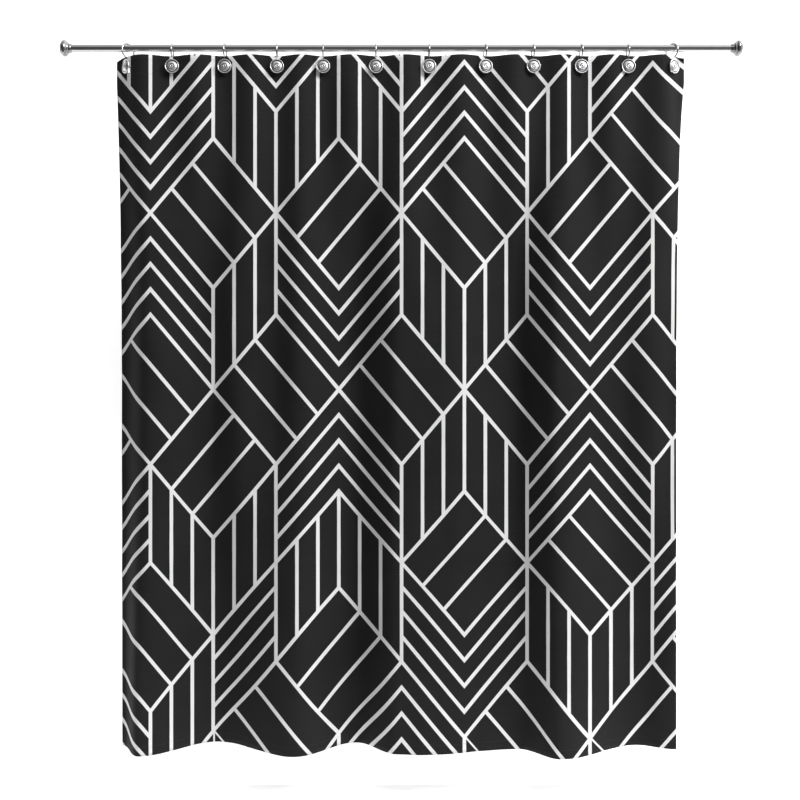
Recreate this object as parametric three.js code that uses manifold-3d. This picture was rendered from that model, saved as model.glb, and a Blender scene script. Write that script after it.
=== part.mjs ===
// Shower curtain hung by twelve medallion hooks on a rod jacked between two walls.
// Millimetres. +X runs along the rod, +Z is up and -Y is the side that faces the room.
// The origin is the centre of the left wall pad's outer face, on the rod's axis.
import * as THREE from 'three';
import { mergeVertices } from 'three/addons/utils/BufferGeometryUtils.js';
import Module from 'manifold-3d';

const wasm = await Module();
wasm.setup();

// ---------------------------------------------------------------- driving dimensions
const GAP = 0.3; // clearance between pieces that seat on or run in each other
const ROUND_SIDES = 24; // sides of the rod's turned pieces

// Rod
const ROD_SPAN = 1826; // wall to wall
const TUBE_R = 9.6;
const TUBE_WALL = 0.8;

// Rod ends
const PAD_THICKNESS = 2;
const PAD_R = 14;
const FLANGE_LENGTH = 20; // from its wall side to its collar
const FLANGE_R = 22;
const SOCKET_DEPTH = 15; // bore in the flange that takes the tube's end
const COLLAR_LENGTH = 6.5;
const COLLAR_WALL = 2.1;

// Screw jack, hidden in the right end of the rod, that presses the wall pads home
const JACK_ROOM = 5; // between the tube's right end and the bottom of its socket
const SPINDLE_R = 3.2;
const SPINDLE_LENGTH = 64;
const NUT_LENGTH = 28;
const NUT_FLANGE = 1.5; // head of the nut, outside the tube

// Curtain
const CURTAIN_START = 152; // left wall to the cloth's left edge
const HUNG_WIDTH = 1503; // across the folds, as it hangs
const DROP = 1868; // top edge to bottom edge, as it hangs
const TOP_EDGE_DROP = 19; // rod's axis to the top edge
const CLOTH_THICKNESS = 0.8;
const HEADER_HEIGHT = 70; // stiffened band along the top, where the folds keep one shape
const HEADER_FLARE_LEFT = 9; // how far the header reaches past the cloth below it
const HEADER_FLARE_RIGHT = 24;
const FLARE_FADE = 230; // height over which the side edges draw in
const TAPE_THICKNESS = 0.6;
const TAPE_MARGIN = 8; // header tape to the top edge
const TAPE_HEIGHT = 46;
const FOLD_FADE = 700; // height over which the hook pleats give way to the long folds
const CLOTH_COLUMNS = 90;
const CLOTH_ROWS = 8;

// Hooks
const WIRE_R = 2;
const WIRE_SIDES = 6;
const STEM_DROP = 31; // top edge to the wire where it goes through the cloth
const BUTTONHOLE_WIDTH = 6;
const BUTTONHOLE_HEIGHT = 16;
const MEDALLION_R = 19;
const MEDALLION_DEPTH = 7;
const MEDALLION_STANDOFF = 6; // rod's axis to the medallion's back, towards the room
const BEAD_R = 2.2;
const TIP_CURL = 60; // degrees that the wire's tip curls under the rod

// Hook places along the curtain, as shares of its hung width: they are pushed along by hand.
const HOOK_SHARES = [
  0.0182, 0.0973, 0.1915, 0.2844, 0.3666, 0.4612, 0.5559, 0.656, 0.7418, 0.8275, 0.9114, 0.99,
];
// Turn of each hook about the vertical, in degrees. The end hooks follow the edges curling back.
const HOOK_TURNS = [-38, 2, -3, 3, 4, 0, 3, 10, 4, 5, 0, 38];
const FIRST_MEDALLION_TURN = -12; // turned further than its wire

// Long folds as [share of the hung width, depth towards the room]. Between two neighbours the
// cloth turns over smoothly.
const MIDDLE_FOLDS = [
  [0, -30], [0.056, 40], [0.16, -20], [0.217, 10], [0.274, -2], [0.325, 22], [0.425, -45],
  [0.5, 35], [0.594, 30], [0.716, -40], [0.784, 45], [0.902, 0], [0.953, 14], [1, -2],
];
const HEM_FOLDS = [
  [0, -35], [0.043, 60], [0.169, -69], [0.319, 64], [0.423, -62], [0.5, 42], [0.545, 48],
  [0.718, -4], [0.784, 84], [0.935, -38], [1, 0],
];
const PLEAT_CREST = 11; // between two hooks
const PLEAT_VALLEY = -7; // at a hook
const EDGE_TURN = -26; // at the side edges of the header
const EDGE_CREST_REACH = 46; // end hook to the crest beside it
const PLUMB_SHIFT = 14; // folds set back, so that curtain and hooks hang plumb under the rod

// ---------------------------------------------------------------- derived sizes
const TUBE_BORE = TUBE_R - TUBE_WALL;
const COLLAR_R = TUBE_R + GAP + COLLAR_WALL;
const FLANGE_NOSE_R = COLLAR_R + GAP;
const FLANGE_BACK = PAD_THICKNESS + GAP;
const FLANGE_FRONT = FLANGE_BACK + FLANGE_LENGTH;
const SOCKET_FLOOR = FLANGE_FRONT - SOCKET_DEPTH;
const TUBE_START = SOCKET_FLOOR + GAP;
const TUBE_END = ROD_SPAN - SOCKET_FLOOR - JACK_ROOM;
const radians = THREE.MathUtils.degToRad;
const WIRE_SEAT = TUBE_R + GAP + WIRE_R; // rod's axis to the wire's centre where the hook hangs
// A loop turned across the rod needs this radius to reach over it without touching its shoulders.
const LOOP_R = WIRE_SEAT / Math.cos(radians(Math.max(...HOOK_TURNS))) ** 2 + GAP;
const LOOP_CENTRE = WIRE_SEAT - LOOP_R;
const STEM_Z = -(TOP_EDGE_DROP + STEM_DROP);
const BUTTONHOLE_TOP = STEM_Z + WIRE_R + GAP; // the cloth hangs on the wire by this edge
const HOOK_X = HOOK_SHARES.map((share) => CURTAIN_START + share * HUNG_WIDTH);
const LAST_HOOK = HOOK_X.length - 1;

// ---------------------------------------------------------------- materials
const paint = (color, roughness, metalness) =>
  new THREE.MeshStandardMaterial({ color, roughness, metalness });
const CHROME = paint(0xc9cacc, 0.16, 1);
const STEEL = paint(0x9a9c9f, 0.35, 1);
const NYLON = paint(0xd9d7d0, 0.55, 0);
const RUBBER = paint(0x2b2b2d, 0.85, 0);
const CLOTH = paint(0x1d1d1f, 0.82, 0);
const TAPE = paint(0x2a2a2c, 0.9, 0);

// ---------------------------------------------------------------- helpers
function plain(geometry) {
  const bare = geometry.index ? geometry : mergeVertices(geometry);
  bare.deleteAttribute('normal');
  bare.deleteAttribute('uv');
  return mergeVertices(bare, 1e-4);
}

function signedVolume(geometry) {
  const place = geometry.attributes.position;
  const index = geometry.index.array;
  const corner = [0, 1, 2].map(() => new THREE.Vector3());
  let volume = 0;
  for (let i = 0; i < index.length; i += 3) {
    corner.forEach((point, k) => point.fromBufferAttribute(place, index[i + k]));
    volume += corner[0].dot(corner[1].cross(corner[2])) / 6;
  }
  return volume;
}

function facingOut(geometry) {
  if (signedVolume(geometry) < 0) geometry.index.array.reverse();
  return geometry;
}

function toSolid(geometry) {
  const closed = plain(geometry);
  return new wasm.Manifold(
    new wasm.Mesh({
      numProp: 3,
      vertProperties: new Float32Array(closed.attributes.position.array),
      triVerts: new Uint32Array(closed.index.array),
    }),
  );
}

function fromSolid(solid) {
  const mesh = solid.getMesh();
  const geometry = new THREE.BufferGeometry();
  geometry.setAttribute('position', new THREE.BufferAttribute(mesh.vertProperties, 3));
  geometry.setIndex(new THREE.BufferAttribute(mesh.triVerts, 1));
  return geometry;
}

// Turned piece about the Y axis. Its profile is [radius, height] and closes on the axis or on itself.
function turned(profile, sides = ROUND_SIDES) {
  const points = profile.map(([r, h]) => new THREE.Vector2(r, h));
  return facingOut(plain(new THREE.LatheGeometry(points, sides)));
}

// Ring of rectangular section about the Y axis.
const ring = (inner, outer, low, high) =>
  turned([[inner, low], [outer, low], [outer, high], [inner, high], [inner, low]]);

const ALONG_ROD = -Math.PI / 2; // turns the Y axis onto the rod

function part(name, geometry, material, parent) {
  const mesh = new THREE.Mesh(geometry, material);
  mesh.name = name;
  parent.add(mesh);
  return mesh;
}

// ---------------------------------------------------------------- rod
function flangeGeometry() {
  const bore = TUBE_R + GAP;
  return turned([
    [0, FLANGE_BACK],
    [PAD_R + 1, FLANGE_BACK],
    [FLANGE_R - 2.4, FLANGE_BACK + 0.13 * FLANGE_LENGTH],
    [FLANGE_R, FLANGE_BACK + 0.325 * FLANGE_LENGTH],
    [FLANGE_R - 0.6, FLANGE_BACK + 0.525 * FLANGE_LENGTH],
    [FLANGE_R - 4, FLANGE_BACK + 0.725 * FLANGE_LENGTH],
    [FLANGE_NOSE_R + 1.4, FLANGE_BACK + 0.875 * FLANGE_LENGTH],
    [FLANGE_NOSE_R, FLANGE_FRONT],
    [bore, FLANGE_FRONT],
    [bore, SOCKET_FLOOR],
    [0, SOCKET_FLOOR],
  ]);
}

function collarGeometry() {
  const low = FLANGE_FRONT + GAP;
  const high = low + COLLAR_LENGTH;
  const inner = TUBE_R + GAP;
  return turned([
    [inner, low], [COLLAR_R, low], [COLLAR_R, low + COLLAR_LENGTH * 0.35],
    [COLLAR_R - 1.2, low + COLLAR_LENGTH * 0.5], [COLLAR_R, low + COLLAR_LENGTH * 0.65],
    [COLLAR_R - 1.5, high], [inner, high], [inner, low],
  ]);
}

function rodEnd(side, parent) {
  part(`${side}_wall_pad`, turned([[0, 0], [PAD_R, 0], [PAD_R, PAD_THICKNESS], [0, PAD_THICKNESS]]),
    RUBBER, parent);
  part(`${side}_flange`, flangeGeometry(), CHROME, parent);
  part(`${side}_collar`, collarGeometry(), CHROME, parent);
}

// Nylon nut pressed into the tube's right end, with a thin head over the tube's rim.
function nutGeometry() {
  const thread = SPINDLE_R + GAP;
  const body = TUBE_BORE - GAP;
  const rim = GAP;
  const head = rim + NUT_FLANGE;
  return turned([
    [thread, -NUT_LENGTH], [body, -NUT_LENGTH], [body, rim], [TUBE_R - GAP, rim],
    [TUBE_R - GAP, head], [thread, head], [thread, -NUT_LENGTH],
  ]);
}

function buildRod() {
  const rod = new THREE.Group();

  const left = new THREE.Group();
  left.rotation.z = ALONG_ROD;
  rod.add(left);
  rodEnd('left', left);
  part('rod_tube', ring(TUBE_BORE, TUBE_R, TUBE_START, TUBE_END), CHROME, left);
  part('jack_nut', nutGeometry(), NYLON, left).position.y = TUBE_END;

  const right = new THREE.Group();
  right.rotation.z = -ALONG_ROD;
  right.position.x = ROD_SPAN;
  rod.add(right);
  rodEnd('right', right);
  const spindle = new THREE.CylinderGeometry(SPINDLE_R, SPINDLE_R, SPINDLE_LENGTH, ROUND_SIDES);
  part('jack_spindle', facingOut(plain(spindle)), STEEL, right).position.y =
    SOCKET_FLOOR + GAP + SPINDLE_LENGTH / 2;
  return rod;
}

// ---------------------------------------------------------------- cloth
// Depth towards the room at a share of the width, from a list of crests and valleys.
function foldDepth(folds, share) {
  const place = Math.min(Math.max(share, 0), 1);
  const next = Math.max(1, folds.findIndex(([at]) => at >= place));
  const [from, depthFrom] = folds[next - 1];
  const [to, depthTo] = folds[next];
  const turn = (1 - Math.cos((Math.PI * (place - from)) / (to - from))) / 2;
  return depthFrom + (depthTo - depthFrom) * turn;
}

const crestReach = EDGE_CREST_REACH / HUNG_WIDTH;
const HEADER_PLEATS = [[0, EDGE_TURN], [HOOK_SHARES[0] + crestReach, PLEAT_CREST]];
for (let k = 1; k < LAST_HOOK; k += 1) {
  HEADER_PLEATS.push([HOOK_SHARES[k], PLEAT_VALLEY]);
  const middle = (HOOK_SHARES[k] + HOOK_SHARES[k + 1]) / 2;
  if (k + 1 < LAST_HOOK) HEADER_PLEATS.push([middle, PLEAT_CREST]);
}
HEADER_PLEATS.push([HOOK_SHARES[LAST_HOOK] - crestReach, PLEAT_CREST], [1, EDGE_TURN]);

const smooth = (t) => {
  const held = Math.min(Math.max(t, 0), 1);
  return held * held * (3 - 2 * held);
};

// Middle of the cloth at a share of the width and a drop below the top edge, as [x, y].
function clothPoint(share, drop) {
  const below = Math.max(0, drop - HEADER_HEIGHT);
  const flare = Math.exp(-below / FLARE_FADE);
  const start = CURTAIN_START - HEADER_FLARE_LEFT * flare;
  const width = HUNG_WIDTH + (HEADER_FLARE_LEFT + HEADER_FLARE_RIGHT) * flare;
  const x = start + share * width;
  const headerShare = (x - CURTAIN_START + HEADER_FLARE_LEFT) /
    (HUNG_WIDTH + HEADER_FLARE_LEFT + HEADER_FLARE_RIGHT);
  const long = smooth(below / FOLD_FADE);
  const low = smooth((drop - DROP / 2) / (DROP / 2));
  const folds = foldDepth(MIDDLE_FOLDS, share) * (1 - low) + foldDepth(HEM_FOLDS, share) * low;
  const header = foldDepth(HEADER_PLEATS, headerShare);
  return [x, -(header * (1 - long) + (folds - PLUMB_SHIFT) * long)];
}

// Sheet between two distances behind the cloth's middle, over a band of drops below the top edge.
// Its two faces are split along the same diagonals, so that they stay a thickness apart on a twist.
function sheetGeometry(front, back, drops) {
  const sides = [front, back];
  const place = [];
  const step = 0.5 / CLOTH_COLUMNS;
  sides.forEach((offset) => drops.forEach((drop) => {
    for (let column = 0; column <= CLOTH_COLUMNS; column += 1) {
      const share = column / CLOTH_COLUMNS;
      const [x, y] = clothPoint(share, drop);
      const [xLeft, yLeft] = clothPoint(share - step, drop);
      const [xRight, yRight] = clothPoint(share + step, drop);
      const run = Math.hypot(xRight - xLeft, yRight - yLeft);
      place.push(x - (offset * (yRight - yLeft)) / run, y + (offset * (xRight - xLeft)) / run,
        -(TOP_EDGE_DROP + drop));
    }
  }));
  const rows = drops.length - 1;
  const at = (side, row, column) => (side * (rows + 1) + row) * (CLOTH_COLUMNS + 1) + column;
  const index = [];
  const quad = (a, b, c, d) => index.push(a, d, b, b, d, c);
  for (let row = 0; row < rows; row += 1) {
    for (let column = 0; column < CLOTH_COLUMNS; column += 1) {
      const [a, b, c, d] = [[row, column], [row, column + 1], [row + 1, column + 1],
        [row + 1, column]];
      quad(at(0, ...a), at(0, ...b), at(0, ...c), at(0, ...d));
      index.push(at(1, ...a), at(1, ...b), at(1, ...d), at(1, ...b), at(1, ...c), at(1, ...d));
    }
    quad(at(1, row, 0), at(0, row, 0), at(0, row + 1, 0), at(1, row + 1, 0));
    quad(at(0, row, CLOTH_COLUMNS), at(1, row, CLOTH_COLUMNS), at(1, row + 1, CLOTH_COLUMNS),
      at(0, row + 1, CLOTH_COLUMNS));
  }
  for (let column = 0; column < CLOTH_COLUMNS; column += 1) {
    quad(at(1, 0, column), at(1, 0, column + 1), at(0, 0, column + 1), at(0, 0, column));
    quad(at(0, rows, column), at(0, rows, column + 1), at(1, rows, column + 1),
      at(1, rows, column));
  }
  const geometry = new THREE.BufferGeometry();
  geometry.setAttribute('position', new THREE.Float32BufferAttribute(place, 3));
  geometry.setIndex(index);
  return facingOut(geometry);
}

function cutButtonholes(geometry) {
  const depth = 60;
  let solid = toSolid(geometry);
  HOOK_X.forEach((x, k) => {
    const cutter = new THREE.BoxGeometry(BUTTONHOLE_WIDTH, depth, BUTTONHOLE_HEIGHT);
    cutter.rotateZ(radians(HOOK_TURNS[k]));
    cutter.translate(x, 0, BUTTONHOLE_TOP - BUTTONHOLE_HEIGHT / 2);
    solid = solid.subtract(toSolid(cutter));
  });
  return fromSolid(solid);
}

function buildCurtain() {
  const curtain = new THREE.Group();
  const drops = [0, HEADER_HEIGHT];
  for (let row = 1; row < CLOTH_ROWS; row += 1) {
    drops.push(HEADER_HEIGHT + (DROP - HEADER_HEIGHT) * (row / (CLOTH_ROWS - 1)) ** 1.3);
  }
  const half = CLOTH_THICKNESS / 2;
  part('curtain_cloth', cutButtonholes(sheetGeometry(-half, half, drops)), CLOTH, curtain);
  const tape = sheetGeometry(half + GAP, half + GAP + TAPE_THICKNESS,
    [TAPE_MARGIN, TAPE_MARGIN + TAPE_HEIGHT]);
  part('header_tape', cutButtonholes(tape), TAPE, curtain);
  return curtain;
}

// ---------------------------------------------------------------- hooks
// How far a medallion is turned against its wire, in degrees.
const medallionTurn = (k) => (k === 0 ? FIRST_MEDALLION_TURN : 0);

// The wire's centre line: back through the buttonhole, up behind the rod, over it and down in front.
// Its end stands clear of the medallion's back, which may be turned across it.
function hookCurve(k) {
  const bend = 5;
  const endGap = GAP + WIRE_R * Math.tan(Math.abs(radians(medallionTurn(k))));
  const points = [
    new THREE.Vector3(0, -MEDALLION_STANDOFF + endGap, STEM_Z),
    new THREE.Vector3(0, (LOOP_R - bend) / 2, STEM_Z),
  ];
  for (let i = 0; i <= 3; i += 1) {
    const angle = (i / 3) * (Math.PI / 2);
    points.push(new THREE.Vector3(0, LOOP_R - bend + bend * Math.sin(angle),
      STEM_Z + bend - bend * Math.cos(angle)));
  }
  points.push(new THREE.Vector3(0, LOOP_R, (STEM_Z + LOOP_CENTRE) / 2));
  const arcSteps = 10;
  for (let i = 0; i <= arcSteps; i += 1) {
    const angle = (i / arcSteps) * (Math.PI + radians(TIP_CURL));
    points.push(new THREE.Vector3(0, LOOP_R * Math.cos(angle),
      LOOP_CENTRE + LOOP_R * Math.sin(angle)));
  }
  return new THREE.CatmullRomCurve3(points, false, 'centripetal');
}

function wireGeometry(k) {
  const section = new THREE.Shape();
  for (let i = 0; i < WIRE_SIDES; i += 1) {
    const angle = ((i + 0.5) / WIRE_SIDES) * 2 * Math.PI;
    const move = i === 0 ? 'moveTo' : 'lineTo';
    section[move](WIRE_R * Math.cos(angle), WIRE_R * Math.sin(angle));
  }
  const curve = hookCurve(k);
  const steps = 24;
  const wire = new THREE.ExtrudeGeometry(section,
    { steps, bevelEnabled: false, extrudePath: curve });
  const tip = curve.getPoint(1);
  const bead = new THREE.SphereGeometry(BEAD_R, 6, 5);
  bead.translate(tip.x, tip.y, tip.z);
  return fromSolid(toSolid(wire).add(toSolid(bead)));
}

function medallionGeometry() {
  const sides = 16;
  const profile = [
    [0, 0], [MEDALLION_R - 1.5, 0], [MEDALLION_R, MEDALLION_DEPTH * 0.25],
    [MEDALLION_R - 1.2, MEDALLION_DEPTH * 0.6], [MEDALLION_R * 0.8, MEDALLION_DEPTH * 0.42],
    [MEDALLION_R * 0.6, MEDALLION_DEPTH * 0.8], [MEDALLION_R * 0.25, MEDALLION_DEPTH],
    [0, MEDALLION_DEPTH * 0.85],
  ];
  return turned(profile, sides).rotateX(Math.PI);
}

function buildHooks() {
  const hooks = new THREE.Group();
  HOOK_X.forEach((x, k) => {
    const hook = new THREE.Group();
    hook.position.x = x;
    hook.rotation.z = radians(HOOK_TURNS[k]);
    hooks.add(hook);
    const number = String(k + 1).padStart(2, '0');
    part(`hook_wire_${number}`, wireGeometry(k), CHROME, hook);
    const medallion = part(`hook_medallion_${number}`, medallionGeometry(), CHROME, hook);
    medallion.position.set(0, -MEDALLION_STANDOFF, STEM_Z);
    medallion.rotation.z = radians(medallionTurn(k));
  });
  return hooks;
}

// ---------------------------------------------------------------- assembly
const showerCurtain = new THREE.Group();
showerCurtain.add(buildRod(), buildCurtain(), buildHooks());

export default showerCurtain;
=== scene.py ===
import math

import bmesh
import bpy
import numpy as np
from bpy.props import FloatProperty, FloatVectorProperty, IntProperty, PointerProperty
from mathutils import Matrix, Vector


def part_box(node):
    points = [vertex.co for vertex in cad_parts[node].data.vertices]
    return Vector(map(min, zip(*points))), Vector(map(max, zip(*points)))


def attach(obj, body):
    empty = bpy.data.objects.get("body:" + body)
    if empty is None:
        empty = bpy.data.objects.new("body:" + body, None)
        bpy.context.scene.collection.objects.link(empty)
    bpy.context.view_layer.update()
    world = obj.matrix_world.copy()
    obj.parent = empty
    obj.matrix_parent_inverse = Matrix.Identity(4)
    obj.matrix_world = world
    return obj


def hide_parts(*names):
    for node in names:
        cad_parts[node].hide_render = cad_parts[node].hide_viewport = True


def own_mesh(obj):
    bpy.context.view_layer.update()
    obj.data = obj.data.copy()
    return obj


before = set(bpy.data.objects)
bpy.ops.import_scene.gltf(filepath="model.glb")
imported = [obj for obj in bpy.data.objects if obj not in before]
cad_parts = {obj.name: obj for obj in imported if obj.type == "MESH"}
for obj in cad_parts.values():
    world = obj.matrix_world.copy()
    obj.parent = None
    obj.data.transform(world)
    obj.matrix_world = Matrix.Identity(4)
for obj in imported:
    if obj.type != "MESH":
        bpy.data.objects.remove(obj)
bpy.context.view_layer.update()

bl_info = {
    "name": "Shower Curtain",
    "version": (1, 0, 0),
    "blender": (4, 5, 0),
    "location": "3D View > Sidebar > Curtain",
    "description": "Hangs a printed shower curtain by twelve medallion hooks on a chrome rod",
    "category": "Object",
}

# ---------------------------------------------------------------- places taken from the frame
MM = 0.001
ROD_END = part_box("right_wall_pad")[1].x
TOP_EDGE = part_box("curtain_cloth")[1].z
CLOTH_DROP = TOP_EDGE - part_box("curtain_cloth")[0].z
TUBE_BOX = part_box("rod_tube")
FLANGE_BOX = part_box("left_flange")
COLLAR_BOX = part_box("left_collar")
GAP = 0.0003
TUBE_RADIUS = TUBE_BOX[1].z
WIRE_RADIUS = 0.002

# ---------------------------------------------------------------- how the cloth hangs
CURTAIN_START = 0.152
HEADER_FLARE_LEFT = 0.009
HEADER_FLARE_RIGHT = 0.024
FLARE_FADE = 0.230
FOLD_FADE = 0.700
HEADER_HEIGHT = 0.070
PLUMB_SHIFT = 14  # millimetres that the folds stand back, so that the cloth hangs plumb
FLARE_CURVE = 1.6
CORNER_SAG = 0.011
CORNER_SAG_WIDTH = 0.024
CORNER_SAG_FADE = 0.050
HEM_LAYER = 0.0004  # how far the turned hem stands behind the cloth's back
HEM_STEP = 0.0008  # width over which the back rises to the turned hem
TAPE_FRONT = 0.0007  # middle of the cloth to the front of the header tape

# Hook places as shares of the hung width, and each hook's turn about the vertical in degrees.
HOOK_SHARES = (
    0.0182, 0.0973, 0.1915, 0.2844, 0.3666, 0.4612, 0.5559, 0.656, 0.7418, 0.8275, 0.9114, 0.99,
)
HOOK_TURNS = (-38, 2, -3, 3, 4, 0, 3, 10, 4, 5, 0, 38)
FIRST_MEDALLION_TURN = -12
HOOK_COUNT = len(HOOK_SHARES)
LAST_HOOK = HOOK_COUNT - 1

# Folds as (share of the hung width, millimetres towards the room).
MIDDLE_FOLDS = (
    (0, -30), (0.056, 40), (0.16, -20), (0.217, 10), (0.274, -2), (0.325, 22), (0.425, -45),
    (0.5, 35), (0.594, 30), (0.716, -40), (0.784, 45), (0.902, 0), (0.953, 14), (1, -2),
)
HEM_FOLDS = (
    (0, -35), (0.043, 60), (0.169, -69), (0.319, 64), (0.423, -62), (0.5, 42), (0.545, 48),
    (0.718, -4), (0.784, 84), (0.935, -38), (1, 0),
)
# Small creases as (waves in a metre across, waves in a metre down, phase).
CREASES = (
    (7.0, 2.1, 0.3), (11.0, -1.6, 1.9), (4.3, 3.3, 4.1), (17.0, 1.1, 2.6), (9.1, -4.7, 5.2),
)
PLEAT_CREST = 11
PLEAT_VALLEY = -7
EDGE_TURN = -26
EDGE_CREST_REACH = 0.046

# ---------------------------------------------------------------- the print
SETTLE_START = 1.17  # top edge down to where the print's lower part starts to sit higher
SETTLE_REACH = 0.36
SIDE_REACH = 0.08  # width at each side where the print goes over to the cloth's own places

# The print is laid out in upright strips, each a column of tiles from the top edge down.
# V and W are tiles with upright sides: V's upper and lower edges rise to the right, W's fall.
# L and R are the left and right halves of a diamond. The small letter is the filling:
# v upright lines at thirds, d lines along the sloped edges at quarters,
# f and b lines across a diamond at thirds, leaning forwards or backwards.
# Each strip: (rises, sides) that place its first edge's left end, and its tiles.
PRINT_STRIPS = (
    ((-1, 0), "Wv Wd Rf Vd Lb Rf Vd Lb Wd"),
    ((0, 0), "Vv Vd Lb Wd Rb Lf Wv Rb Vv Lb"),
    ((-1, 0), "Wd Wv Rb Vv Lb Rf Vv Vd Lb"),
    ((0, 0), "Vd Vv Lf Wd Rb Vd Vv Lf Rb Vv"),
    ((-1, 0), "Wd Wv Rf Vd Lb Wd Wv Rf Vd"),
    ((0, 0), "Vv Vd Lb Wv Rb Vv Lf Wd Wd"),
    ((-1, 1), "Lb Wd Rb Vv Lb Wv Rf Vd Lb"),
    ((-2, 1), "Rb Vv Lf Wd Rb Vd Lb Wv Rb Vv"),
    ((-1, 1), "Vd Lb Rf Vd Lb Wd Rb Vv Lf"),
    ((-2, 1), "Wd Rb Lf Wv Rb Vv Vd Lb Rf"),
)


def length(name, description, default, high=10.0):
    """A length in metres for the sidebar."""
    return FloatProperty(name=name, description=description, default=default, min=0.0, max=high,
                         precision=5, subtype="DISTANCE", unit="LENGTH")


def share(name, description, default, high=1.0):
    """A plain number for the sidebar."""
    return FloatProperty(name=name, description=description, default=default, min=0.0, max=high,
                         precision=3, subtype="FACTOR")


def shade(name, description, default):
    """A colour for the sidebar."""
    return FloatVectorProperty(name=name, description=description, default=default, size=3,
                               min=0.0, max=1.0, subtype="COLOR")


class ClothSizes(bpy.types.PropertyGroup):
    """Sizes of the cloth, its hems and its print."""

    width: length("Hung width", "Width across the folds, as it hangs", 1.503)
    flat_width: length("Cut width", "Width of the cloth laid flat", 1.803)
    flat_drop: length("Cut drop", "Height of the cloth laid flat", 1.880)
    thickness: length("Thickness", "Thickness of one layer of cloth", 0.0005)
    side_hem: length("Side hem", "Width of the turned hem at each side", 0.013)
    bottom_hem: length("Bottom hem", "Height of the turned hem at the bottom", 0.026)
    column_step: length("Column step", "Widest column of faces", 0.009)
    row_step: length("Row step", "Tallest row of faces", 0.013)
    crumple: length("Crumple", "Depth of the small creases between the folds", 0.0011)
    strip_width: length("Strip width", "Width of one strip of the print", 0.1686)
    strip_rise: length("Strip rise", "Height a sloped line gains over one strip", 0.2014)
    tile_side: length("Tile side", "Height of a tile's upright side", 0.2725)
    first_column: length("First column", "Cloth's left edge to the print's first full strip", 0.0875)
    print_start: FloatProperty(
        name="Print start", description="Top edge to the print's first corner, downwards",
        default=-0.1218, precision=4, subtype="DISTANCE", unit="LENGTH")
    even_print: length("Even print", "Top edge down to where the print starts to follow the hem",
                       1.55)
    hem_follow: share("Hem follow", "How far the print goes with the folds at the hem", 0.6)
    settle: length("Settle", "How far the print's lower part sits above its even place", 0.0165)
    line_width: length("Line width", "Width of the print's lines", 0.0094)
    line_wander: length("Line wander", "How much the hand-drawn lines gain or lose", 0.0011)
    tape_margin: length("Tape margin", "Top edge to the header tape", 0.008)
    tape_height: length("Tape height", "Height of the header tape", 0.046)
    tape_thickness: length("Tape thickness", "Thickness of the header tape", 0.0006)


class SeamSizes(bpy.types.PropertyGroup):
    """Sizes of the stitching."""

    pitch: length("Stitch pitch", "One stitch to the next", 0.0046)
    stitch: length("Stitch length", "Length of one stitch", 0.0034)
    thread: length("Thread", "Thickness of the thread", 0.00045)
    hole_pitch: length("Buttonhole pitch", "One buttonhole stitch to the next", 0.0011)
    hole_stitch: length("Buttonhole stitch", "Length of one buttonhole stitch", 0.0026)
    hole_width: length("Buttonhole width", "Width of a buttonhole", 0.006)
    hole_height: length("Buttonhole height", "Height of a buttonhole", 0.016)


class HookSizes(bpy.types.PropertyGroup):
    """Sizes of the hooks."""

    wire: length("Wire radius", "Radius of the hook's wire", WIRE_RADIUS)
    loop: length("Loop radius", "Radius of the loop over the rod",
                 (TUBE_RADIUS + GAP + WIRE_RADIUS) / math.cos(math.radians(38)) ** 2 + GAP)
    stem: length("Stem drop", "Rod's axis to the stem through the cloth", 0.050)
    standoff: length("Standoff", "Rod's axis to the medallion's back", 0.006)
    bead: length("Bead radius", "Radius of the bead on the wire's tip", 0.0022)
    medallion: length("Medallion radius", "Radius of the medallion", 0.019)
    depth: length("Medallion depth", "Back of the medallion to its highest point", 0.007)
    flute: length("Flute depth", "Depth of the curved flutes on the dome", 0.00018)
    flutes: IntProperty(name="Flutes", description="Curved flutes on the dome", default=9, min=3)
    tip_curl: FloatProperty(name="Tip curl", description="How far the tip curls under the rod",
                            default=math.radians(60), subtype="ANGLE", unit="ROTATION")


class RodSizes(bpy.types.PropertyGroup):
    """Sizes of the rod and its ends."""

    tube: length("Tube radius", "Outer radius of the tube", TUBE_RADIUS)
    bore: length("Tube bore", "Inner radius of the tube", TUBE_RADIUS - 0.0008)
    flange: length("Flange radius", "Radius of the flange", FLANGE_BOX[1].z)
    nose: length("Nose radius", "Radius of the flange at the collar", COLLAR_BOX[1].z + GAP)
    socket: length("Socket depth", "Depth of the socket that takes the tube", 0.015)
    gap: length("Gap", "Clearance between pieces that fit together", GAP)
    collar: length("Collar radius", "Radius of the collar", COLLAR_BOX[1].z)


class Finishes(bpy.types.PropertyGroup):
    """Colours of the finishes."""

    cloth: shade("Cloth", "Dyed ground of the cloth", (0.0150, 0.0150, 0.0155))
    cloth_back: shade("Cloth back", "Back of the cloth", (0.022, 0.022, 0.0225))
    ink: shade("Ink", "Lines of the print", (0.80, 0.80, 0.795))
    tape: shade("Tape", "Header tape", (0.020, 0.020, 0.021))
    thread: shade("Thread", "Sewing thread", (0.022, 0.022, 0.023))
    chrome: shade("Chrome", "Plated rod and hooks", (0.55, 0.55, 0.56))
    # painted shade: dark colour laid in the medallions' grooves and middle dimple
    groove_shade: shade("Painted groove shade", "Dark of the medallions' grooves", (0.07, 0.07, 0.07))
    steel: shade("Steel", "Jack spindle", (0.42, 0.42, 0.43))
    nylon: shade("Nylon", "Jack nut", (0.72, 0.70, 0.66))
    rubber: shade("Rubber", "Wall pads", (0.028, 0.028, 0.030))
    stage: shade("Stage", "Floor and backdrop", (0.90, 0.90, 0.90))


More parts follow.
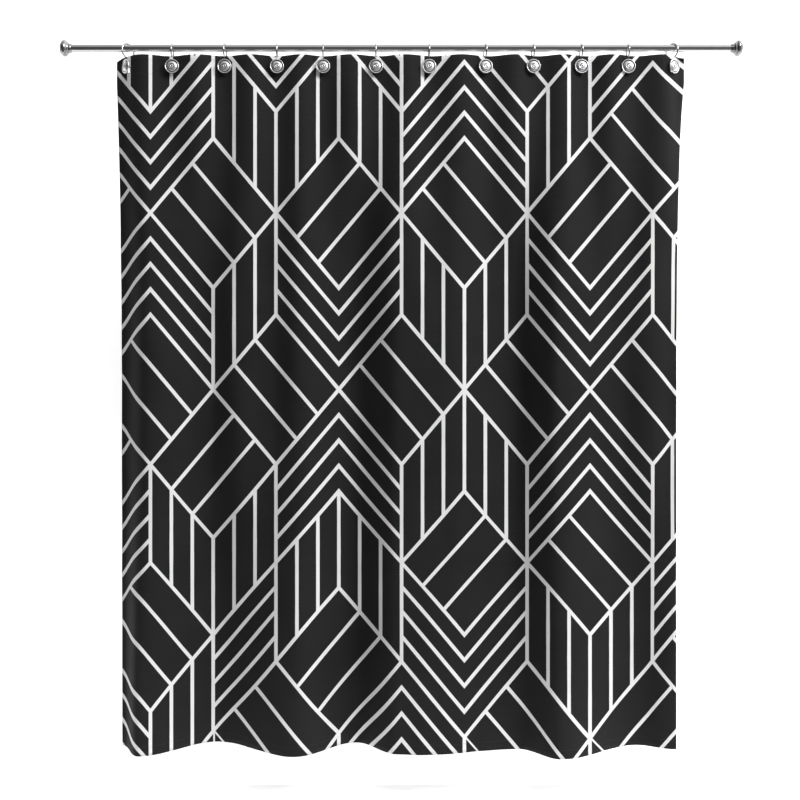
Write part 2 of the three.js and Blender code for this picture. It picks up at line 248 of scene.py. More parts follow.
class StageSettings(bpy.types.PropertyGroup):
    """The stage, its light and the camera."""

    distance: length("Camera distance", "Camera to the rod's plane", 3.0, high=20.0)
    lens: FloatProperty(name="Lens", description="Focal length in millimetres", default=50.28,
                        min=10.0, max=300.0)
    eye: FloatProperty(name="Eye height", description="Camera's height from the rod's axis",
                       default=-0.9443, subtype="DISTANCE", unit="LENGTH")
    aside: length("Camera aside", "Left wall to the camera", 0.9097)
    floor_drop: length("Floor drop", "Rod's axis to the floor", 2.02)
    wall: length("Backdrop", "Rod's plane to the backdrop", 0.62)
    key: FloatProperty(name="Key light", description="Strength of the soft light at the right",
                       default=146.0, min=0.0, unit="POWER")
    front: FloatProperty(name="Front light", description="Strength of the soft light in front",
                         default=80.0, min=0.0, unit="POWER")
    sky: share("Surround", "Strength of the light from all round", 0.70, high=5.0)


# ---------------------------------------------------------------- cloth shape
def smooth(t):
    """Eases from 0 to 1."""
    held = np.clip(t, 0.0, 1.0)
    return held * held * (3 - 2 * held)


def fold_depth(folds, place):
    """Depth towards the room, in millimetres, at a share of the width."""
    table = np.array(folds, float)
    held = np.clip(place, 0.0, 1.0)
    after = np.clip(np.searchsorted(table[:, 0], held), 1, len(table) - 1)
    start, end = table[after - 1], table[after]
    turn = (1 - np.cos(np.pi * (held - start[:, 0]) / (end[:, 0] - start[:, 0]))) / 2
    return start[:, 1] + (end[:, 1] - start[:, 1]) * turn


def header_pleats(width):
    """The header dips back at the hooks, bows forward between them and turns back at its ends."""
    reach = EDGE_CREST_REACH / width
    pleats = [(0.0, EDGE_TURN), (HOOK_SHARES[0] + reach, PLEAT_CREST)]
    for k in range(1, LAST_HOOK):
        pleats.append((HOOK_SHARES[k], PLEAT_VALLEY))
        if k + 1 < LAST_HOOK:
            pleats.append(((HOOK_SHARES[k] + HOOK_SHARES[k + 1]) / 2, PLEAT_CREST))
    pleats += [(HOOK_SHARES[LAST_HOOK] - reach, PLEAT_CREST), (1.0, EDGE_TURN)]
    return pleats


def crumple(across, down, depth):
    """Small soft creases, which die away towards the header."""
    total = np.zeros_like(across)
    for many, slant, phase in CREASES:
        total += np.sin(2 * np.pi * (many * across + slant * down) + phase) / math.sqrt(many / 4)
    return depth * total / 1.6 * smooth((down - 0.12) / 0.35)


def cloth_point(sizes, u, drop):
    """Middle of the cloth as an (n, 3) array. u is across the print, drop is below the top edge."""
    u = np.asarray(u, float)
    drop = np.asarray(drop, float)
    width = sizes.width
    below = np.maximum(0.0, drop - HEADER_HEIGHT)
    flare = np.exp(-below / FLARE_FADE)
    left = np.clip(1 - u / sizes.first_column, 0, 1) ** FLARE_CURVE
    last_strip = width - sizes.first_column - (len(PRINT_STRIPS) - 2) * sizes.strip_width
    right = np.clip(1 - (width - u) / last_strip, 0, 1) ** FLARE_CURVE
    x = CURTAIN_START + u - HEADER_FLARE_LEFT * flare * left + HEADER_FLARE_RIGHT * flare * right
    header_width = width + HEADER_FLARE_LEFT + HEADER_FLARE_RIGHT
    header_share = (x - CURTAIN_START + HEADER_FLARE_LEFT) / header_width
    header = fold_depth(header_pleats(width), header_share)
    long = smooth(below / FOLD_FADE)
    low = smooth((drop - CLOTH_DROP / 2) / (CLOTH_DROP / 2))
    middle = fold_depth(MIDDLE_FOLDS, u / width)
    hem = fold_depth(HEM_FOLDS, u / width)
    folds = middle * (1 - low) + hem * low - PLUMB_SHIFT
    depth = (header * (1 - long) + folds * long) * MM + crumple(u, drop, sizes.crumple)
    corner = np.clip(1 - u / CORNER_SAG_WIDTH, 0, 1) ** 2
    sag = CORNER_SAG * np.exp(-drop / CORNER_SAG_FADE) * corner
    return np.stack([x, -depth, TOP_EDGE - drop - sag], axis=-1)


def cloth_normal(sizes, u, drop):
    """Unit normals of the cloth, away from the room."""
    step = 0.002
    across = cloth_point(sizes, u + step, drop) - cloth_point(sizes, u - step, drop)
    down = cloth_point(sizes, u, drop + step) - cloth_point(sizes, u, drop - step)
    normal = np.cross(down, across)
    normal /= np.linalg.norm(normal, axis=-1, keepdims=True)
    return normal * np.where(normal[:, 1:2] < 0, -1.0, 1.0)


def off_cloth(sizes, u, drop, offset):
    """Points at a distance behind the cloth's middle."""
    normal = cloth_normal(sizes, u, drop)
    return cloth_point(sizes, u, drop) + normal * np.reshape(offset, (-1, 1))


def hook_x(k, sizes):
    """Where a hook hangs along the rod."""
    return CURTAIN_START + HOOK_SHARES[k] * sizes.width


def hook_u(k, sizes):
    """Where along the print a hook goes through the header."""
    level = 0.03
    tries = np.linspace(0, sizes.width, 6001)
    reached = cloth_point(sizes, tries, np.full_like(tries, level))[:, 0]
    return float(np.interp(hook_x(k, sizes), reached, tries))


# ---------------------------------------------------------------- flat panels
def stops(marks, step):
    """Marks in order, with even stops between them no further apart than step."""
    marks = sorted(set(round(m, 6) for m in marks))
    found = [marks[0]]
    for start, end in zip(marks, marks[1:]):
        count = max(1, math.ceil((end - start) / step))
        found += [start + (end - start) * k / count for k in range(1, count + 1)]
    return found


def print_places(sizes, u, drop):
    """Where a place on the hanging cloth falls on the print. The print lies even across the folds,
    as they are seen from the room, down to the hem, where it follows the cloth."""
    stage = bpy.context.scene.curtain_stage
    at = cloth_point(sizes, u, drop)
    nearer = stage.distance / (stage.distance + at[:, 1])
    level = TOP_EDGE - (stage.eye + (at[:, 2] - stage.eye) * nearer)
    upright = stage.aside + (at[:, 0] - stage.aside) * nearer - CURTAIN_START
    own = smooth((drop - sizes.even_print) / (CLOTH_DROP - sizes.even_print))
    inside = smooth(np.minimum(u, sizes.width - u) / SIDE_REACH)
    upright = u + (upright - u) * inside
    settled = sizes.settle * smooth((level - SETTLE_START) / SETTLE_REACH)
    return upright, level + settled + (drop - level) * own * sizes.hem_follow


def lay_print(sizes, panel):
    """Moves the panel's points to their places on the print, and keeps where they hang."""
    across = panel.verts.layers.float.new("across")
    down = panel.verts.layers.float.new("down")
    u = np.array([v.co.x for v in panel.verts])
    drop = np.array([-v.co.y for v in panel.verts])
    places = zip(panel.verts, u, drop, *print_places(sizes, u, drop))
    for vert, own_u, own_drop, print_u, print_drop in places:
        vert[across] = own_u
        vert[down] = own_drop
        vert.co = (print_u, -print_drop, 0)


def flat_grid(across, down):
    """Flat bmesh with its x across the cloth and its y down from the top edge."""
    panel = bmesh.new()
    rows = [[panel.verts.new((u, -v, 0)) for u in across] for v in down]
    for upper, lower in zip(rows, rows[1:]):
        for k in range(len(across) - 1):
            panel.faces.new((lower[k], lower[k + 1], upper[k + 1], upper[k]))
    return panel


def slice_faces(panel, faces, point, normal):
    """Cuts these faces along a line, and returns them with the new ones."""
    geometry = set(faces)
    for face in faces:
        geometry.update(face.edges)
        geometry.update(face.verts)
    cut = bmesh.ops.bisect_plane(panel, geom=list(geometry), dist=1e-7, plane_co=point,
                                 plane_no=normal)
    return [g for g in cut["geom"] if isinstance(g, bmesh.types.BMFace)]


def cut_hole(panel, u, drop, width, height):
    """Cuts an upright slot with its top end at drop."""
    low, high = u - width / 2, u + width / 2
    reach = 0.022
    near = [f for f in panel.faces
            if abs(f.calc_center_median().x - u) < reach
            and abs(f.calc_center_median().y + drop + height / 2) < reach]
    for point, normal in (((low, 0, 0), (1, 0, 0)), ((high, 0, 0), (1, 0, 0)),
                          ((0, -drop, 0), (0, 1, 0)), ((0, -drop - height, 0), (0, 1, 0))):
        near = slice_faces(panel, near, point, normal)
    inside = []
    for face in near:
        centre = face.calc_center_median()
        if low < centre.x < high and -drop - height < centre.y < -drop:
            inside.append(face)
    bmesh.ops.delete(panel, geom=inside, context="FACES")


def hole_top(hooks):
    """Top edge of the cloth to the top of a buttonhole, which rests on the hook's stem."""
    return hooks.stem + TOP_EDGE - hooks.wire - GAP


def cut_buttonholes(panel, cloth, seams, hooks):
    top = hole_top(hooks)
    for k in range(HOOK_COUNT):
        cut_hole(panel, hook_u(k, cloth), top, seams.hole_width, seams.hole_height)


# ---------------------------------------------------------------- the print's tiles
def strip_tiles(sizes, number):
    """Tiles of a strip as (kind, filling, left end and right end of its upper edge)."""
    (rises, sides), chart = PRINT_STRIPS[number]
    rise, side = sizes.strip_rise, sizes.tile_side
    left = sizes.print_start + rises * rise + sides * side
    first = chart.split()[0][0]
    right = left - rise if first in "VL" else left + rise
    tiles = []
    for kind, filling in chart.split():
        tiles.append((kind, filling, left, right))
        left += {"V": side, "W": side, "L": 0, "R": 2 * rise}[kind]
        right += {"V": side, "W": side, "L": 2 * rise, "R": 0}[kind]
    tiles.append(("V", "v", left, right))
    return tiles


def strip_edges(sizes, number):
    """Left and right edge of a strip."""
    first = sizes.first_column + (number - 1) * sizes.strip_width
    return first, first + sizes.strip_width


def strip_at(sizes, across):
    """Number of the strip at a place across the print."""
    number = int(math.floor((across - sizes.first_column) / sizes.strip_width)) + 1
    return min(max(number, 0), len(PRINT_STRIPS) - 1)


def find_tile(tiles, share_across, down):
    """The tile of a strip at a height."""
    found = tiles[0]
    for tile in tiles:
        if down >= tile[2] + (tile[3] - tile[2]) * share_across - 1e-7:
            found = tile
    return found


def open_sides(sizes, strips, number, tile):
    """Whether a tile's left and right sides have no line: two chevron halves meet without one."""
    _, filling, left, right = tile
    found = []
    for neighbour, side, down in ((number - 1, 1.0, left), (number + 1, 0.0, right)):
        beside = None
        if filling == "d" and 0 <= neighbour < len(strips):
            beside = find_tile(strips[neighbour], side, down + sizes.tile_side / 2)
        found.append(bool(beside) and beside[1] == "d")
    return found


def line_turns(sizes, tile, across, down, sides=(False, False)):
    """How many line spacings a place is along each way that lines run: upright, rising, falling.
    A whole number is on a line, and a half is where a way has no lines. With it, the spacings."""
    kind, filling, left, _ = tile
    width, rise, side = sizes.strip_width, sizes.strip_rise, sizes.tile_side
    slant = width / math.hypot(width, rise)
    climb = rise * across / width
    turns, spacing = [0.5, 0.5, 0.5], [1.0, 1.0, 1.0]
    if kind in "VW":
        way = 1 if kind == "V" else 2
        below = down - left + (climb if kind == "V" else -climb)
        upright, sloped = (3, 1) if filling == "v" else (1, 4)
        turns[0], spacing[0] = upright * across / width, width / upright
        if any(sides):
            turns[0] = 0.5 if all(sides) else (across / width + sides[0]) / 2
            spacing[0] = 2 * width
        turns[way], spacing[way] = sloped * below / side, side * slant / sloped
        return turns, spacing
    if kind == "L":
        rising = down - (left - climb)
        falling = (left + climb) - down
    else:
        rising = (left + 2 * rise - climb) - down
        falling = down - (left + climb)
    full = 2 * rise
    for way, distance, letter in ((1, rising, "f"), (2, falling, "b")):
        parts = 3 if filling == letter else 1
        turns[way], spacing[way] = parts * distance / full, full * slant / parts
    return turns, spacing


# ---------------------------------------------------------------- meshes
def add_object(name, mesh):
    obj = bpy.data.objects.new(name, mesh)
    bpy.context.scene.collection.objects.link(obj)
    return obj


def mesh_of(name, points, faces):
    mesh = bpy.data.meshes.new(name)
    mesh.from_pydata([tuple(p) for p in points], [], faces)
    mesh.polygons.foreach_set("use_smooth", [True] * len(mesh.polygons))
    mesh.update()
    return mesh


def corner_vectors(mesh, name, values):
    layer = mesh.attributes.new(name, "FLOAT_VECTOR", "CORNER")
    layer.data.foreach_set("vector", np.asarray(values, np.float32).ravel())


def corner_map(mesh, name, values):
    layer = mesh.uv_layers.new(name=name)
    layer.uv.foreach_set("vector", np.asarray(values, np.float32).ravel())


def sheet_places(panel, printed):
    """Where the panel's points lie on the cloth, across it and down it."""
    if not printed:
        return (np.array([v.co.x for v in panel.verts]), np.array([-v.co.y for v in panel.verts]))
    across = panel.verts.layers.float["across"]
    down = panel.verts.layers.float["down"]
    return (np.array([v[across] for v in panel.verts]), np.array([v[down] for v in panel.verts]))


def face_lines(sizes, strips, sides, face):
    """Line turns and spacings at a face's corners, from the tile that it lies in. sides keeps
    which sides of each tile are open."""
    centre = face.calc_center_median()
    number = strip_at(sizes, centre.x)
    edge = strip_edges(sizes, number)[0]
    tile = find_tile(strips[number], (centre.x - edge) / sizes.strip_width, -centre.y)
    if (number, tile) not in sides:
        sides[number, tile] = open_sides(sizes, strips, number, tile)
    return [line_turns(sizes, tile, v.co.x - edge, -v.co.y, sides[number, tile])
            for v in face.verts]


# Shares of the baking map: the front's width, the back's start and width, the rim's two sides,
# and how much of its own step each rim face fills.
BAKE_FRONT = 0.66
BAKE_BACK = (0.67, 0.315)
BAKE_RIM = (0.990, 0.997)
RIM_FILL = 0.9
NO_LINES = ((0.5, 0.5, 0.5), (1.0, 1.0, 1.0))


def two_sided(name, sizes, panel, front, back, back_at=None, printed=False):
    """Closed sheet from a flat panel. front and back are distances behind the cloth's middle;
    back_at gives the back's own distance at each place. Faces 0.. are the front, then the back,
    then the rim round its edges and holes."""
    panel.verts.ensure_lookup_table()
    panel.verts.index_update()
    u, drop = sheet_places(panel, printed)
    count = len(u)
    points = np.concatenate([
        off_cloth(sizes, u, drop, np.full(count, front)),
        off_cloth(sizes, u, drop, back_at(u, drop) if back_at else np.full(count, back)),
    ])
    faces, places, lines, baked, kinds = [], [], [], [], []
    strips = [strip_tiles(sizes, n) for n in range(len(PRINT_STRIPS))]
    sides = {}
    width = max(u.max(), 1e-6)
    tall = max(drop.max(), 1e-6)
    for side in range(2):
        for face in panel.faces:
            corners = [v.index for v in face.verts]
            own_lines = face_lines(sizes, strips, sides, face) if printed else []
            if side:
                corners.reverse()
                own_lines.reverse()
            lines += own_lines
            for c in corners:
                places.append((u[c], -drop[c]))
                across = u[c] / width
                across = BAKE_BACK[0] + BAKE_BACK[1] * across if side else BAKE_FRONT * across
                baked.append((across, 1 - drop[c] / tall))
            faces.append([c + side * count for c in corners])
            kinds.append(side)
    rim = [e for e in panel.edges if len(e.link_faces) == 1]
    for k, edge in enumerate(rim):
        loop = edge.link_loops[0]
        a, b = loop.vert.index, loop.link_loop_next.vert.index
        faces.append([b, a, a + count, b + count])
        kinds.append(2)
        places += [(u[c], -drop[c]) for c in (b, a, a, b)]
        lines += [NO_LINES] * 4
        low, high = k / len(rim), (k + RIM_FILL) / len(rim)
        baked += [(BAKE_RIM[0], low), (BAKE_RIM[0], high), (BAKE_RIM[1], high), (BAKE_RIM[1], low)]
    mesh = mesh_of(name, points, faces)
    mesh.polygons.foreach_set("use_smooth", [kind < 2 for kind in kinds])
    corner_map(mesh, "Weave", places)
    corner_map(mesh, "OFBake", baked)
    if printed:
        corner_vectors(mesh, "line_turns", [turns for turns, _ in lines])
        corner_vectors(mesh, "line_spacing", [spacing for _, spacing in lines])
    mesh.polygons.foreach_set("material_index", [1 if kind == 1 else 0 for kind in kinds])
    mesh.update()
    return mesh


def turned_mesh(name, profile, sides, shape=None):
    """Turned piece about the Y axis from a closed profile of (radius, height). The profile starts
    and ends on the axis, or comes back to its first point. shape may move a ring's points."""
    points, rings = [], []
    closed = profile[0] == profile[-1]
    for r, h in profile[:-1] if closed else profile:
        if r == 0:
            rings.append([len(points)] * sides)
            points.append((0, h, 0))
            continue
        ring = []
        for k in range(sides):
            angle = 2 * math.pi * k / sides
            height = h + (shape(r, angle) if shape else 0)
            ring.append(len(points))
            points.append((r * math.cos(angle), height, r * math.sin(angle)))
        rings.append(ring)
    pairs = list(zip(rings, rings[1:]))
    if closed:
        pairs.append((rings[-1], rings[0]))
    faces = []
    for low, high in pairs:
        for k in range(sides):
            n = (k + 1) % sides
            corners = []
            for c in (low[k], high[k], high[n], low[n]):
                if c not in corners:
                    corners.append(c)
            if len(corners) > 2:
                faces.append(corners)
    mesh = mesh_of(name, points, faces)
    shell = bmesh.new()
    shell.from_mesh(mesh)
    bmesh.ops.recalc_face_normals(shell, faces=shell.faces)
    shell.to_mesh(mesh)
    shell.free()
    return mesh


def rounded(profile, radius, steps=4):
    """Profile with its corners rounded off."""
    closed = profile[0] == profile[-1]
    found = [] if closed else [profile[0]]
    corners = profile[:-1] if closed else profile[1:-1]
    for k, corner in enumerate(corners):
        before = corners[k - 1] if closed else profile[k]
        after = corners[(k + 1) % len(corners)] if closed else profile[k + 2]
        here, start, end = Vector(corner), Vector(before), Vector(after)
        reach = min(radius, (start - here).length * 0.45, (end - here).length * 0.45)
        a = here + (start - here).normalized() * reach
        b = here + (end - here).normalized() * reach
        for n in range(steps + 1):
            t = n / steps
            found.append(tuple(a * (1 - t) ** 2 + here * 2 * t * (1 - t) + b * t * t))
    found.append(found[0] if closed else profile[-1])
    return found


# ---------------------------------------------------------------- Geometry Nodes
def new_tree(name, inputs):
    """An empty Geometry Nodes tree. inputs are (name, socket type, default)."""
    tree = bpy.data.node_groups.new(name, "GeometryNodeTree")
    tree.interface.new_socket(name="Geometry", in_out="INPUT", socket_type="NodeSocketGeometry")
    for title, kind, default in inputs:
        socket = tree.interface.new_socket(name=title, in_out="INPUT", socket_type=kind)
        if default is not None:
            socket.default_value = default
    tree.interface.new_socket(name="Geometry", in_out="OUTPUT", socket_type="NodeSocketGeometry")
    source = tree.nodes.new("NodeGroupInput")
    return tree, source


def node(tree, kind, values=(), links=(), **settings):
    """Adds a node. values and links are (input, value) and (input, socket) pairs."""
    made = tree.nodes.new(kind)
    for key, value in settings.items():
        setattr(made, key, value)
    for key, value in values:
        made.inputs[key].default_value = value
    for key, socket in links:
        tree.links.new(socket, made.inputs[key])
    return made


def end_tree(tree, geometry, material):
    """Every tree ends in Realize Instances and Set Material."""
    real = node(tree, "GeometryNodeRealizeInstances", links=[("Geometry", geometry)])
    finish = node(tree, "GeometryNodeSetMaterial",
                  links=[("Geometry", real.outputs[0]), ("Material", material)])
    smoothed = node(tree, "GeometryNodeSetShadeSmooth", links=[("Geometry", finish.outputs[0])])
    node(tree, "NodeGroupOutput", links=[("Geometry", smoothed.outputs[0])])
    return tree


def stitch_tree():
    """Stitches laid end to end along paths, or across them."""
    tree, source = new_tree("stitches_along_path", (
        ("Pitch", "NodeSocketFloat", 0.004),
        ("Stitch Length", "NodeSocketFloat", 0.003),
        ("Thread", "NodeSocketFloat", 0.0004),
        ("Across", "NodeSocketBool", False),
        ("Material", "NodeSocketMaterial", None),
    ))
    path = node(tree, "GeometryNodeMeshToCurve", links=[("Mesh", source.outputs["Geometry"])])
    evened = node(tree, "GeometryNodeResampleCurve", [], [
        ("Curve", path.outputs[0]), ("Length", source.outputs["Pitch"])], mode="LENGTH")
    tangent = node(tree, "GeometryNodeInputTangent")
    crossed = node(tree, "ShaderNodeVectorMath", [(1, (0, 1, 0))], [(0, tangent.outputs[0])],
                   operation="CROSS_PRODUCT")
    way = node(tree, "GeometryNodeSwitch", [], [
        ("Switch", source.outputs["Across"]), ("False", tangent.outputs[0]),
        ("True", crossed.outputs[0])], input_type="VECTOR")
    turn = node(tree, "FunctionNodeAlignRotationToVector", [], [("Vector", way.outputs[0])],
                axis="X")
    size = node(tree, "ShaderNodeCombineXYZ", [], [
        ("X", source.outputs["Stitch Length"]), ("Y", source.outputs["Thread"]),
        ("Z", source.outputs["Thread"])])
    stitch = node(tree, "GeometryNodeMeshIcoSphere", [("Radius", 0.5), ("Subdivisions", 1)])
    laid = node(tree, "GeometryNodeInstanceOnPoints", [], [
        ("Points", evened.outputs[0]), ("Instance", stitch.outputs[0]),
        ("Rotation", turn.outputs[0]), ("Scale", size.outputs[0])])
    return end_tree(tree, laid.outputs[0], source.outputs["Material"])


def wire_tree():
    """Round wire along a path, with a bead on its far end."""
    tree, source = new_tree("wire_with_bead", (
        ("Radius", "NodeSocketFloat", 0.0017),
        ("Bead Radius", "NodeSocketFloat", 0.0022),
        ("Length Step", "NodeSocketFloat", 0.0018),
        ("Material", "NodeSocketMaterial", None),
    ))
    path = node(tree, "GeometryNodeMeshToCurve", links=[("Mesh", source.outputs["Geometry"])])
    evened = node(tree, "GeometryNodeResampleCurve", [], [
        ("Curve", path.outputs[0]), ("Length", source.outputs["Length Step"])], mode="LENGTH")
    section = node(tree, "GeometryNodeCurvePrimitiveCircle", [("Resolution", 14)],
                   [("Radius", source.outputs["Radius"])])
    wire = node(tree, "GeometryNodeCurveToMesh", [("Fill Caps", True)], [
        ("Curve", evened.outputs[0]), ("Profile Curve", section.outputs[0])])
    tip = node(tree, "GeometryNodeCurveEndpointSelection", [("Start Size", 0), ("End Size", 1)])
    bead = node(tree, "GeometryNodeMeshUVSphere", [("Segments", 16), ("Rings", 10)],
                [("Radius", source.outputs["Bead Radius"])])
    placed = node(tree, "GeometryNodeInstanceOnPoints", [], [
        ("Points", evened.outputs[0]), ("Selection", tip.outputs[0]),
        ("Instance", bead.outputs[0])])
    joined = node(tree, "GeometryNodeJoinGeometry", [], [("Geometry", wire.outputs[0])])
    tree.links.new(placed.outputs[0], joined.inputs["Geometry"])
    return end_tree(tree, joined.outputs[0], source.outputs["Material"])


def grow(name, paths, tree, values):
    """Runs a tree on paths, which are lists of points, and gives the plain mesh it makes."""
    points, edges = [], []
    for path in paths:
        first = len(points)
        points += [tuple(p) for p in path]
        edges += [(first + k, first + k + 1) for k in range(len(path) - 1)]
    lines = bpy.data.meshes.new(name + "_path")
    lines.from_pydata(points, edges, [])
    guide = add_object(name + "_path", lines)
    modifier = guide.modifiers.new(tree.name, "NODES")
    modifier.node_group = tree
    for item in tree.interface.items_tree:
        if item.item_type == "SOCKET" and item.in_out == "INPUT" and item.name in values:
            modifier[item.identifier] = values[item.name]
    evaluated = guide.evaluated_get(bpy.context.evaluated_depsgraph_get())
    mesh = bpy.data.meshes.new_from_object(evaluated)
    guide.modifiers.remove(modifier)
    bpy.data.objects.remove(guide)
    bpy.data.meshes.remove(lines)
    if not mesh.polygons:
        raise RuntimeError(f"{name} came out empty")
    mesh.name = name
    return mesh


# ---------------------------------------------------------------- materials
def new_group(name, inputs, outputs):
    group = bpy.data.node_groups.new(name, "ShaderNodeTree")
    for title, kind, default in inputs:
        socket = group.interface.new_socket(name=title, in_out="INPUT", socket_type=kind)
        socket.default_value = default
    for title, kind in outputs:
        group.interface.new_socket(name=title, in_out="OUTPUT", socket_type=kind)
    return group, group.nodes.new("NodeGroupInput"), group.nodes.new("NodeGroupOutput")


def math_node(tree, operation, a, b=None):
    made = tree.nodes.new("ShaderNodeMath")
    made.operation = operation
    for key, value in ((0, a), (1, b)):
        if value is None:
            continue
        if isinstance(value, (int, float)):
            made.inputs[key].default_value = value
        else:
            tree.links.new(value, made.inputs[key])
    return made.outputs[0]


def range_node(tree, value, low, high, to_low, to_high, kind="SMOOTHSTEP"):
    made = tree.nodes.new("ShaderNodeMapRange")
    made.interpolation_type = kind
    for key, given in (("Value", value), ("From Min", low), ("From Max", high),
                       ("To Min", to_low), ("To Max", to_high)):
        if isinstance(given, (int, float)):
            made.inputs[key].default_value = given
        else:
            tree.links.new(given, made.inputs[key])
    return made.outputs["Result"]


def woven_threads():
    """Plain weave of round threads, with uneven threads and soft wear."""
    group, source, result = new_group("woven_threads", (
        ("Place", "NodeSocketVector", (0, 0, 0)),
        ("Thread Pitch", "NodeSocketFloat", 0.0006),
        ("Unevenness", "NodeSocketFloat", 0.5),
    ), (("Height", "NodeSocketFloat"), ("Tone", "NodeSocketFloat")))
    apart = node(group, "ShaderNodeSeparateXYZ", links=[(0, source.outputs["Place"])])
    turn = math_node(group, "DIVIDE", math.pi, source.outputs["Thread Pitch"])
    warp = math_node(group, "SINE", math_node(group, "MULTIPLY", apart.outputs[0], turn))
    weft = math_node(group, "SINE", math_node(group, "MULTIPLY", apart.outputs[1], turn))
    crossing = math_node(group, "MULTIPLY", warp, weft)
    over = math_node(group, "ABSOLUTE", crossing)
    stretch = node(group, "ShaderNodeVectorMath", [(1, (9.0, 620.0, 1.0))],
                   [(0, source.outputs["Place"])], operation="MULTIPLY")
    slub = node(group, "ShaderNodeTexNoise", [("Scale", 1.0), ("Detail", 2.0)],
                [("Vector", stretch.outputs[0])])
    blotch = node(group, "ShaderNodeTexNoise", [("Scale", 6.0), ("Detail", 3.0)],
                  [("Vector", source.outputs["Place"])])
    uneven = math_node(group, "MULTIPLY", slub.outputs["Fac"], source.outputs["Unevenness"])
    height = math_node(group, "ADD", over, uneven)
    tone = range_node(group, math_node(group, "ADD", slub.outputs["Fac"], blotch.outputs["Fac"]),
                      0.7, 1.3, 0.0, 1.0)
    group.links.new(height, result.inputs["Height"])
    group.links.new(tone, result.inputs["Tone"])
    return group


def drawn_lines():
    """Mask of the print's lines, whose width wanders as if drawn by hand."""
    group, source, result = new_group("drawn_lines", (
        ("Place", "NodeSocketVector", (0, 0, 0)),
        ("Turns", "NodeSocketVector", (0.5, 0.5, 0.5)),
        ("Spacing", "NodeSocketVector", (1, 1, 1)),
        ("Line Width", "NodeSocketFloat", 0.009),
        ("Wander", "NodeSocketFloat", 0.001),
        ("Softness", "NodeSocketFloat", 0.0004),
    ), (("Mask", "NodeSocketFloat"),))
    half = (0.5, 0.5, 0.5)
    moved = node(group, "ShaderNodeVectorMath", [(1, half)], [(0, source.outputs["Turns"])],
                 operation="ADD")
    part = node(group, "ShaderNodeVectorMath", [], [(0, moved.outputs[0])], operation="FRACTION")
    centred = node(group, "ShaderNodeVectorMath", [(1, half)], [(0, part.outputs[0])],
                   operation="SUBTRACT")
    away = node(group, "ShaderNodeVectorMath", [], [(0, centred.outputs[0])], operation="ABSOLUTE")
    metres = node(group, "ShaderNodeVectorMath", [],
                  [(0, away.outputs[0]), (1, source.outputs["Spacing"])], operation="MULTIPLY")
    each = node(group, "ShaderNodeSeparateXYZ", links=[(0, metres.outputs[0])])
    nearest = math_node(group, "MINIMUM", each.outputs[0], each.outputs[1])
    nearest = math_node(group, "MINIMUM", nearest, each.outputs[2])
    slow = node(group, "ShaderNodeTexNoise", [("Scale", 14.0), ("Detail", 1.0)],
                [("Vector", source.outputs["Place"])])
    fine = node(group, "ShaderNodeTexNoise", [("Scale", 260.0), ("Detail", 1.0)],
                [("Vector", source.outputs["Place"])])
    gain = math_node(group, "SUBTRACT", slow.outputs["Fac"], 0.5)
    gain = math_node(group, "ADD", gain, math_node(
        group, "MULTIPLY", math_node(group, "SUBTRACT", fine.outputs["Fac"], 0.5), 0.25))
    gain = math_node(group, "MULTIPLY", gain, source.outputs["Wander"])
    reach = math_node(group, "ADD", math_node(
        group, "MULTIPLY", source.outputs["Line Width"], 0.5), gain)
    inner = math_node(group, "SUBTRACT", reach, source.outputs["Softness"])
    outer = math_node(group, "ADD", reach, source.outputs["Softness"])
    mask = range_node(group, nearest, inner, outer, 1.0, 0.0)
    group.links.new(mask, result.inputs["Mask"])
    return group


def handled_surface():
    """Faint smudges and fine scratches on a hard surface."""
    group, source, result = new_group("handled_surface", (
        ("Place", "NodeSocketVector", (0, 0, 0)),
        ("Low", "NodeSocketFloat", 0.1),
        ("High", "NodeSocketFloat", 0.2),
    ), (("Roughness", "NodeSocketFloat"), ("Height", "NodeSocketFloat"),
        ("Smudge", "NodeSocketFloat")))
    smudge = node(group, "ShaderNodeTexNoise", [("Scale", 38.0), ("Detail", 4.0)],
                  [("Vector", source.outputs["Place"])])
    stretch = node(group, "ShaderNodeVectorMath", [(1, (60.0, 900.0, 900.0))],
                   [(0, source.outputs["Place"])], operation="MULTIPLY")
    scratch = node(group, "ShaderNodeTexNoise", [("Scale", 1.0), ("Detail", 3.0)],
                   [("Vector", stretch.outputs[0])])
    both = math_node(group, "ADD", math_node(group, "MULTIPLY", smudge.outputs["Fac"], 0.7),
                     math_node(group, "MULTIPLY", scratch.outputs["Fac"], 0.3))
    rough = range_node(group, both, 0.35, 0.65, source.outputs["Low"], source.outputs["High"],
                       kind="LINEAR")
    group.links.new(rough, result.inputs["Roughness"])
    group.links.new(scratch.outputs["Fac"], result.inputs["Height"])
    group.links.new(smudge.outputs["Fac"], result.inputs["Smudge"])
    return group


def use_group(tree, name, values=(), links=()):
    made = tree.nodes.new("ShaderNodeGroup")
    made.node_tree = bpy.data.node_groups[name]
    for key, value in values:
        made.inputs[key].default_value = value
    for key, socket in links:
        tree.links.new(socket, made.inputs[key])
    return made


def new_material(name, constants=()):
    material = bpy.data.materials.new(name)
    material.use_nodes = True
    shader = material.node_tree.nodes["Principled BSDF"]
    for key, value in constants:
        shader.inputs[key].default_value = value
    return material, material.node_tree, shader


def mix_colour(tree, factor, a, b):
    mixed = tree.nodes.new("ShaderNodeMix")
    mixed.data_type = "RGBA"
    for key, value in ((0, factor), (6, a), (7, b)):
        if isinstance(value, (int, float)):
            mixed.inputs[key].default_value = value
        elif isinstance(value, bpy.types.NodeSocket):
            tree.links.new(value, mixed.inputs[key])
        else:
            mixed.inputs[key].default_value = (*value, 1.0)
    return mixed.outputs[2]


